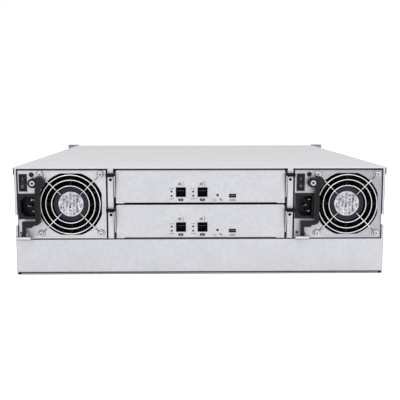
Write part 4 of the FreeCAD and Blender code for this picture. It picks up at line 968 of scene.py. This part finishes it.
def make_captive_screw():
    """Thumb-screw head: a bright rounded ring round a socket painted dark as shade, with a small
    drive pin.
    """
    rise, pin_rise = 2.0 * MM, 1.5 * MM
    ring = drum("captive_ring", (0, -rise, 0), 3.1 * MM, rise)
    soften(dent(ring, 1.55 * MM, 1.5 * MM, step=True), 0.2 * MM)
    pin = soften(drum("captive_pin", (0, -pin_rise, 0), 0.55 * MM, 1.2 * MM, 16), 0.15 * MM, 1)
    for part in (ring, pin):
        coat(part, SCREW_STEEL, RECESS_SHADE)
    for face in ring.data.polygons:
        hidden = face.center.y > -1.8 * MM and math.hypot(face.center.x, face.center.z) < 1.6 * MM
        face.material_index = int(hidden)
    return joined("captive_head", [ring, pin])


def make_off_mark():
    """The O of a power switch."""
    mark = make_ring("off_mark", (0, 0, 0), 1.15 * MM, 0.27 * MM, 32)
    only(mark)
    bpy.ops.object.shade_smooth()
    return mark


def make_on_mark():
    """The I of a power switch."""
    return soften(block("on_mark", (-0.3 * MM, -0.1 * MM, -1.4 * MM),
                        (0.3 * MM, 0.1 * MM, 1.4 * MM)), 0.08 * MM)


def make_lamp_lens():
    """Domed lens in a thin collar."""
    lens = new_piece("lamp_lens", bpy.ops.mesh.primitive_uv_sphere_add, segments=32,
                     ring_count=16, radius=2.5 * MM, location=(0, 0, 0),
                     scale=(1, 0.4, 1), rotation=ALONG_Y)
    pick(lens, "FACE", lambda centre, normal: centre.y > 0.1 * MM)
    bpy.ops.mesh.delete(type="FACE")
    leave()
    pick(lens, "EDGE", lambda middle, along: middle.y > -0.05 * MM)
    bpy.ops.mesh.edge_face_add()
    leave()
    only(lens)
    bpy.ops.object.shade_smooth_by_angle(angle=math.radians(50))
    return lens


def place_power_details():
    captive, off = make_captive_screw(), make_off_mark()
    on, lens = make_on_mark(), make_lamp_lens()
    tilt = 14  # in degrees, of the rocker's lower half
    face = REAR - 0.8 * MM
    above, below = 4.2 * MM, 4.4 * MM
    leaning = face - below * math.tan(math.radians(tilt))
    for side in SIDES:
        left = MODULE_LEFT[side]
        middle_x, middle_z = left + SWITCH[0], SHELF + SWITCH[1]
        on_mark = copied(on, f"{side}_switch_on_mark", (middle_x, face, middle_z + above))
        dress(on_mark, f"{side}_power_switch_rocker", "black_plastic", MARK_WHITE)
        off_mark = copied(off, f"{side}_switch_off_mark",
                          (middle_x, leaning, middle_z - below), -tilt, "X")
        dress(off_mark, f"{side}_power_switch_rocker", "black_plastic", MARK_WHITE)
        head = copied(captive, f"{side}_captive_screw_head",
                      (left + CAPTIVE_SCREW[0], CAPTIVE_FACE, SHELF + CAPTIVE_SCREW[1]))
        dress(head, f"{side}_power_release_lever", "bright_wire")
        lamp = copied(lens, f"{side}_lamp_lens",
                      (left + LAMP[0], REAR - 0.55 * MM, SHELF + LAMP[1]))
        dress(lamp, f"{side}_power_module", "black_plastic", LAMP_DARK)
    remove(captive, off, on, lens)


# ---- controller details

def flat_mark(across, up, wide, tall, thick=0.12):
    """A thin printed bar on a panel, in millimetres from the controller's middle bottom."""
    return block("mark", ((across - wide / 2) * MM, -thick * MM, (up - tall / 2) * MM),
                 ((across + wide / 2) * MM, 0, (up + tall / 2) * MM))


def make_port_insert():
    """Contact carrier of a host port: a stepped tongue with a row of contacts above it."""
    insert = block("port_insert", (-5 * MM, 3 * MM, -4.8 * MM), (5 * MM, 20 * MM, 4.8 * MM))
    return soften(dent(insert, 0.8 * MM, 1.4 * MM, step=True), 0.15 * MM, 1)


def make_port_contacts():
    """Row of contact springs across the upper part of a port's mouth."""
    springs = []
    count, pitch = 8, 1.05
    for i in range(count):
        across = (i - (count - 1) / 2) * pitch * MM
        springs.append(block("spring", (across - 0.3 * MM, 1.4 * MM, 1.0 * MM),
                             (across + 0.3 * MM, 4.6 * MM, 2.2 * MM)))
    return soften(joined("port_contacts", springs), 0.12 * MM, 1)


def make_port_plate():
    """Dark rounded tag under a port, sunk inside its rim."""
    plate = block("port_plate", (-3 * MM, -0.25 * MM, -1.45 * MM), (3 * MM, 0, 1.45 * MM))
    bevel_edges(plate, 0.9 * MM, lambda middle, along: abs(along.y) > 0.9, segments=4)
    return dent(plate, 0.35 * MM, 0.1 * MM)


def make_service_tongue():
    """Tongue inside the small service port."""
    tongue = block("service_tongue", (-3.0 * MM, 1.2 * MM, -0.85 * MM),
                   (3.0 * MM, 9 * MM, 0.85 * MM))
    return soften(dent(tongue, 0.3 * MM, -0.3 * MM), 0.15 * MM, 1)


def turned_mark(across, up, wide, tall, turn):
    """A printed bar turned by some degrees about its middle."""
    return move(flat_mark(0, 0, wide, tall), (across * MM, 0, up * MM), turn)


# Printed bars in millimetres: across, up, width and height. A port's are placed from it.
PORT_BARS = [(-3.1, 22.9, 0.5, 2.6), (-1.0, 24.6, 1.6, 0.5)]
PORT_BARS += [(2.5, up, 0.75, 0.9) for up in (20.8, 22.4, 24.0, 25.6)]
PORT_BARS += [(PORT_LAMPS_MM + shift, 17.3, 1.1, 0.7) for shift in (-1.7, 0, 1.7)]
PORT_BARS += [(PORT_LAMPS_MM + shift, 5.2, 1.3, 0.8) for shift in (-2.1, 0, 2.1)]
LAMP_BARS = [(15.2, 4.1, 0.6, 2.0), (16.4, 3.4, 1.9, 0.6), (18.4, 3.9, 0.8, 1.4)]
SERVICE_BARS = [(across, up, 1.2, 0.6) for across in (35.3, 36.8, 38.3, 39.8, 41.3)
                for up in (4.2, 2.9)]
PLATE_BAR = (-0.2, 4.0, 2.2, 0.8)


def make_panel_print():
    """Symbols printed round the ports of one controller."""
    bars = []
    for port in PORTS_MM:
        bars += [turned_mark(port - 1.2, 22.9, 4.0, 0.62, turn) for turn in (-45, 45)]
        bars += [flat_mark(port + across, *rest) for across, *rest in PORT_BARS]
    bars += [flat_mark(*bar) for bar in LAMP_BARS]
    bars.append(turned_mark(24.3, 4.2, 3.8, 1.1, 40))
    bars += [flat_mark(*bar) for bar in SERVICE_BARS]
    return joined("panel_print", bars)


def make_plate_marks():
    """Light bars on the dark tags."""
    across, *rest = PLATE_BAR
    return joined("plate_marks", [flat_mark(port + across, *rest, thick=0.24)
                                  for port in PORTS_MM])


def place_controller_details():
    insert, contacts, plate = make_port_insert(), make_port_contacts(), make_port_plate()
    printing, light, tongue = make_panel_print(), make_plate_marks(), make_service_tongue()
    for level in LEVELS:
        bottom = CONTROLLER_BOTTOM[level]
        foot = Vector((0, REAR, bottom))
        service = foot + Vector((SERVICE_PORT[0], 0, SERVICE_PORT[1]))
        details = []
        for port, name in zip(PORTS_MM, ("first", "second")):
            mouth = Vector((port * MM, REAR, bottom + PORT_UP))
            tag = Vector(((port - 0.2) * MM, REAR, bottom + 4.05 * MM))
            details += [(insert, name + "_port_insert", mouth, PORT_BLACK),
                        (contacts, name + "_port_contacts", mouth, PORT_SPRING),
                        (plate, name + "_port_plate", tag, PLATE_DARK)]
        details += [(printing, "panel_print", foot, MARK_GREY),
                    (light, "plate_marks", foot, TAG_LIGHT),
                    (tongue, "service_port_tongue", service, PORT_TONGUE)]
        for model, name, spot, finish in details:
            dress(copied(model, f"{level}_{name}", spot), f"{level}_controller",
                  "bright_wire" if model is contacts else "black_plastic", finish)
    remove(insert, contacts, plate, printing, light, tongue)


# ---- drive tray details

def make_tray_lamps():
    """Two light guides at the end of a tray's face."""
    guides = []
    for level in (9 * MM, 14 * MM):
        guide = drum("guide", (0, -1.4 * MM, level), 1.1 * MM, 1.6 * MM, 24)
        guides.append(dent(guide, 0.3 * MM, 0.15 * MM,
                           test=lambda centre, normal: normal.y > 0.99))
    return soften(joined("tray_lamps", guides), 0.1 * MM, 1)


def place_tray_details():
    lamps = make_tray_lamps()
    for tray in TRAYS:
        low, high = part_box(f"drive_tray_{tray}")
        spot = Vector((low.x + 2 * MM, high.y, low.z))
        piece = copied(lamps, f"tray_lamps_{tray}", spot)
        dress(piece, f"drive_tray_{tray}", "tray_plastic", LAMP_GREEN)
    remove(lamps)


# ---- studio

def seen_directly(tree):
    """1 where the camera, a mirror or a window looks at a surface."""
    path = tree.nodes.new("ShaderNodeLightPath")
    rays = [path.outputs[f"Is {kind} Ray"] for kind in ("Camera", "Glossy", "Transmission")]
    return calc(tree, "MAXIMUM", *rays)


def studio_material(name, color, glow):
    """A pale surface that looks white, and keeps the object's shadow."""
    material, tree, surface = new_material(name, specular=0.0)
    speckle = noise(tree, coordinates(tree), scale=3.0, detail=2)
    tint = tree.nodes.new("ShaderNodeRGB")
    tint.outputs["Color"].default_value = (*color, 1)
    tone = ramp(tree, speckle, 0.3, 0.7, out_low=0.99, out_high=1.0)
    link(tree, shade(tree, tint.outputs["Color"], tone), surface.inputs["Base Color"])
    surface.inputs["Roughness"].default_value = 0.9
    white = tree.nodes.new("ShaderNodeEmission")
    link(tree, calc(tree, "MULTIPLY", seen_directly(tree), glow), white.inputs["Strength"])
    both = tree.nodes.new("ShaderNodeAddShader")
    link(tree, surface.outputs["BSDF"], both.inputs[0])
    link(tree, white.outputs["Emission"], both.inputs[1])
    link(tree, both.outputs["Shader"], node_of(tree, "OUTPUT_MATERIAL").inputs["Surface"])
    return material


def make_floor():
    floor = new_piece("floor", bpy.ops.mesh.primitive_plane_add, size=12,
                      location=(0, 0, -0.2 * MM))
    coat(floor, studio_material("studio_floor", (0.85, 0.85, 0.86), glow=0.62))


def make_world():
    world = bpy.data.worlds.new("studio_world")
    bpy.context.scene.world = world
    world.use_nodes = True
    tree = world.node_tree
    back = node_of(tree, "BACKGROUND")
    back.inputs["Color"].default_value = (1, 1, 1, 1)
    daylight = 0.5
    seen = calc(tree, "MULTIPLY", seen_directly(tree), 1 - daylight)
    link(tree, calc(tree, "ADD", seen, daylight), back.inputs["Strength"])


def stand(data, place):
    """Put a lamp or a camera in its place."""
    thing = bpy.data.objects.new(data.name, data)
    bpy.context.collection.objects.link(thing)
    thing.location = place
    return thing


def add_soft_lamp(name, place, target, size, power):
    data = bpy.data.lights.new(name, "AREA")
    data.shape = "SQUARE"
    data.size = size
    data.energy = power
    aim = Vector(target) - Vector(place)
    stand(data, place).rotation_euler = aim.to_track_quat("-Z", "Y").to_euler()


def make_camera():
    """Camera behind the shelf, a little above it and left of its middle."""
    behind, down, across = 815.3 * MM, math.radians(7.53), math.radians(1.12)
    data = bpy.data.cameras.new("camera")
    data.lens = 61.8
    data.sensor_width = 36
    data.clip_end = 50
    camera = stand(data, (-16.7 * MM, REAR - behind, 198.3 * MM))
    camera.rotation_euler = (math.pi / 2 - down, 0, -across)
    bpy.context.scene.camera = camera


def make_studio():
    make_floor()
    make_world()
    middle = (0, 0, 70 * MM)
    add_soft_lamp("key", (-0.9, -2.2, 1.7), middle, size=1.8, power=22)
    add_soft_lamp("fill", (1.4, -2.0, 0.9), middle, size=1.6, power=10)
    add_soft_lamp("top", (0.0, 0.3, 2.4), middle, size=2.4, power=22)
    make_camera()


bpy.context.scene.view_settings.view_transform = "Standard"
paint_chassis()
paint_power_modules()
paint_controllers()
paint_trays()
place_hem_and_gap_shades()
place_fan_fronts()
place_power_details()
place_controller_details()
place_tray_details()
make_studio()
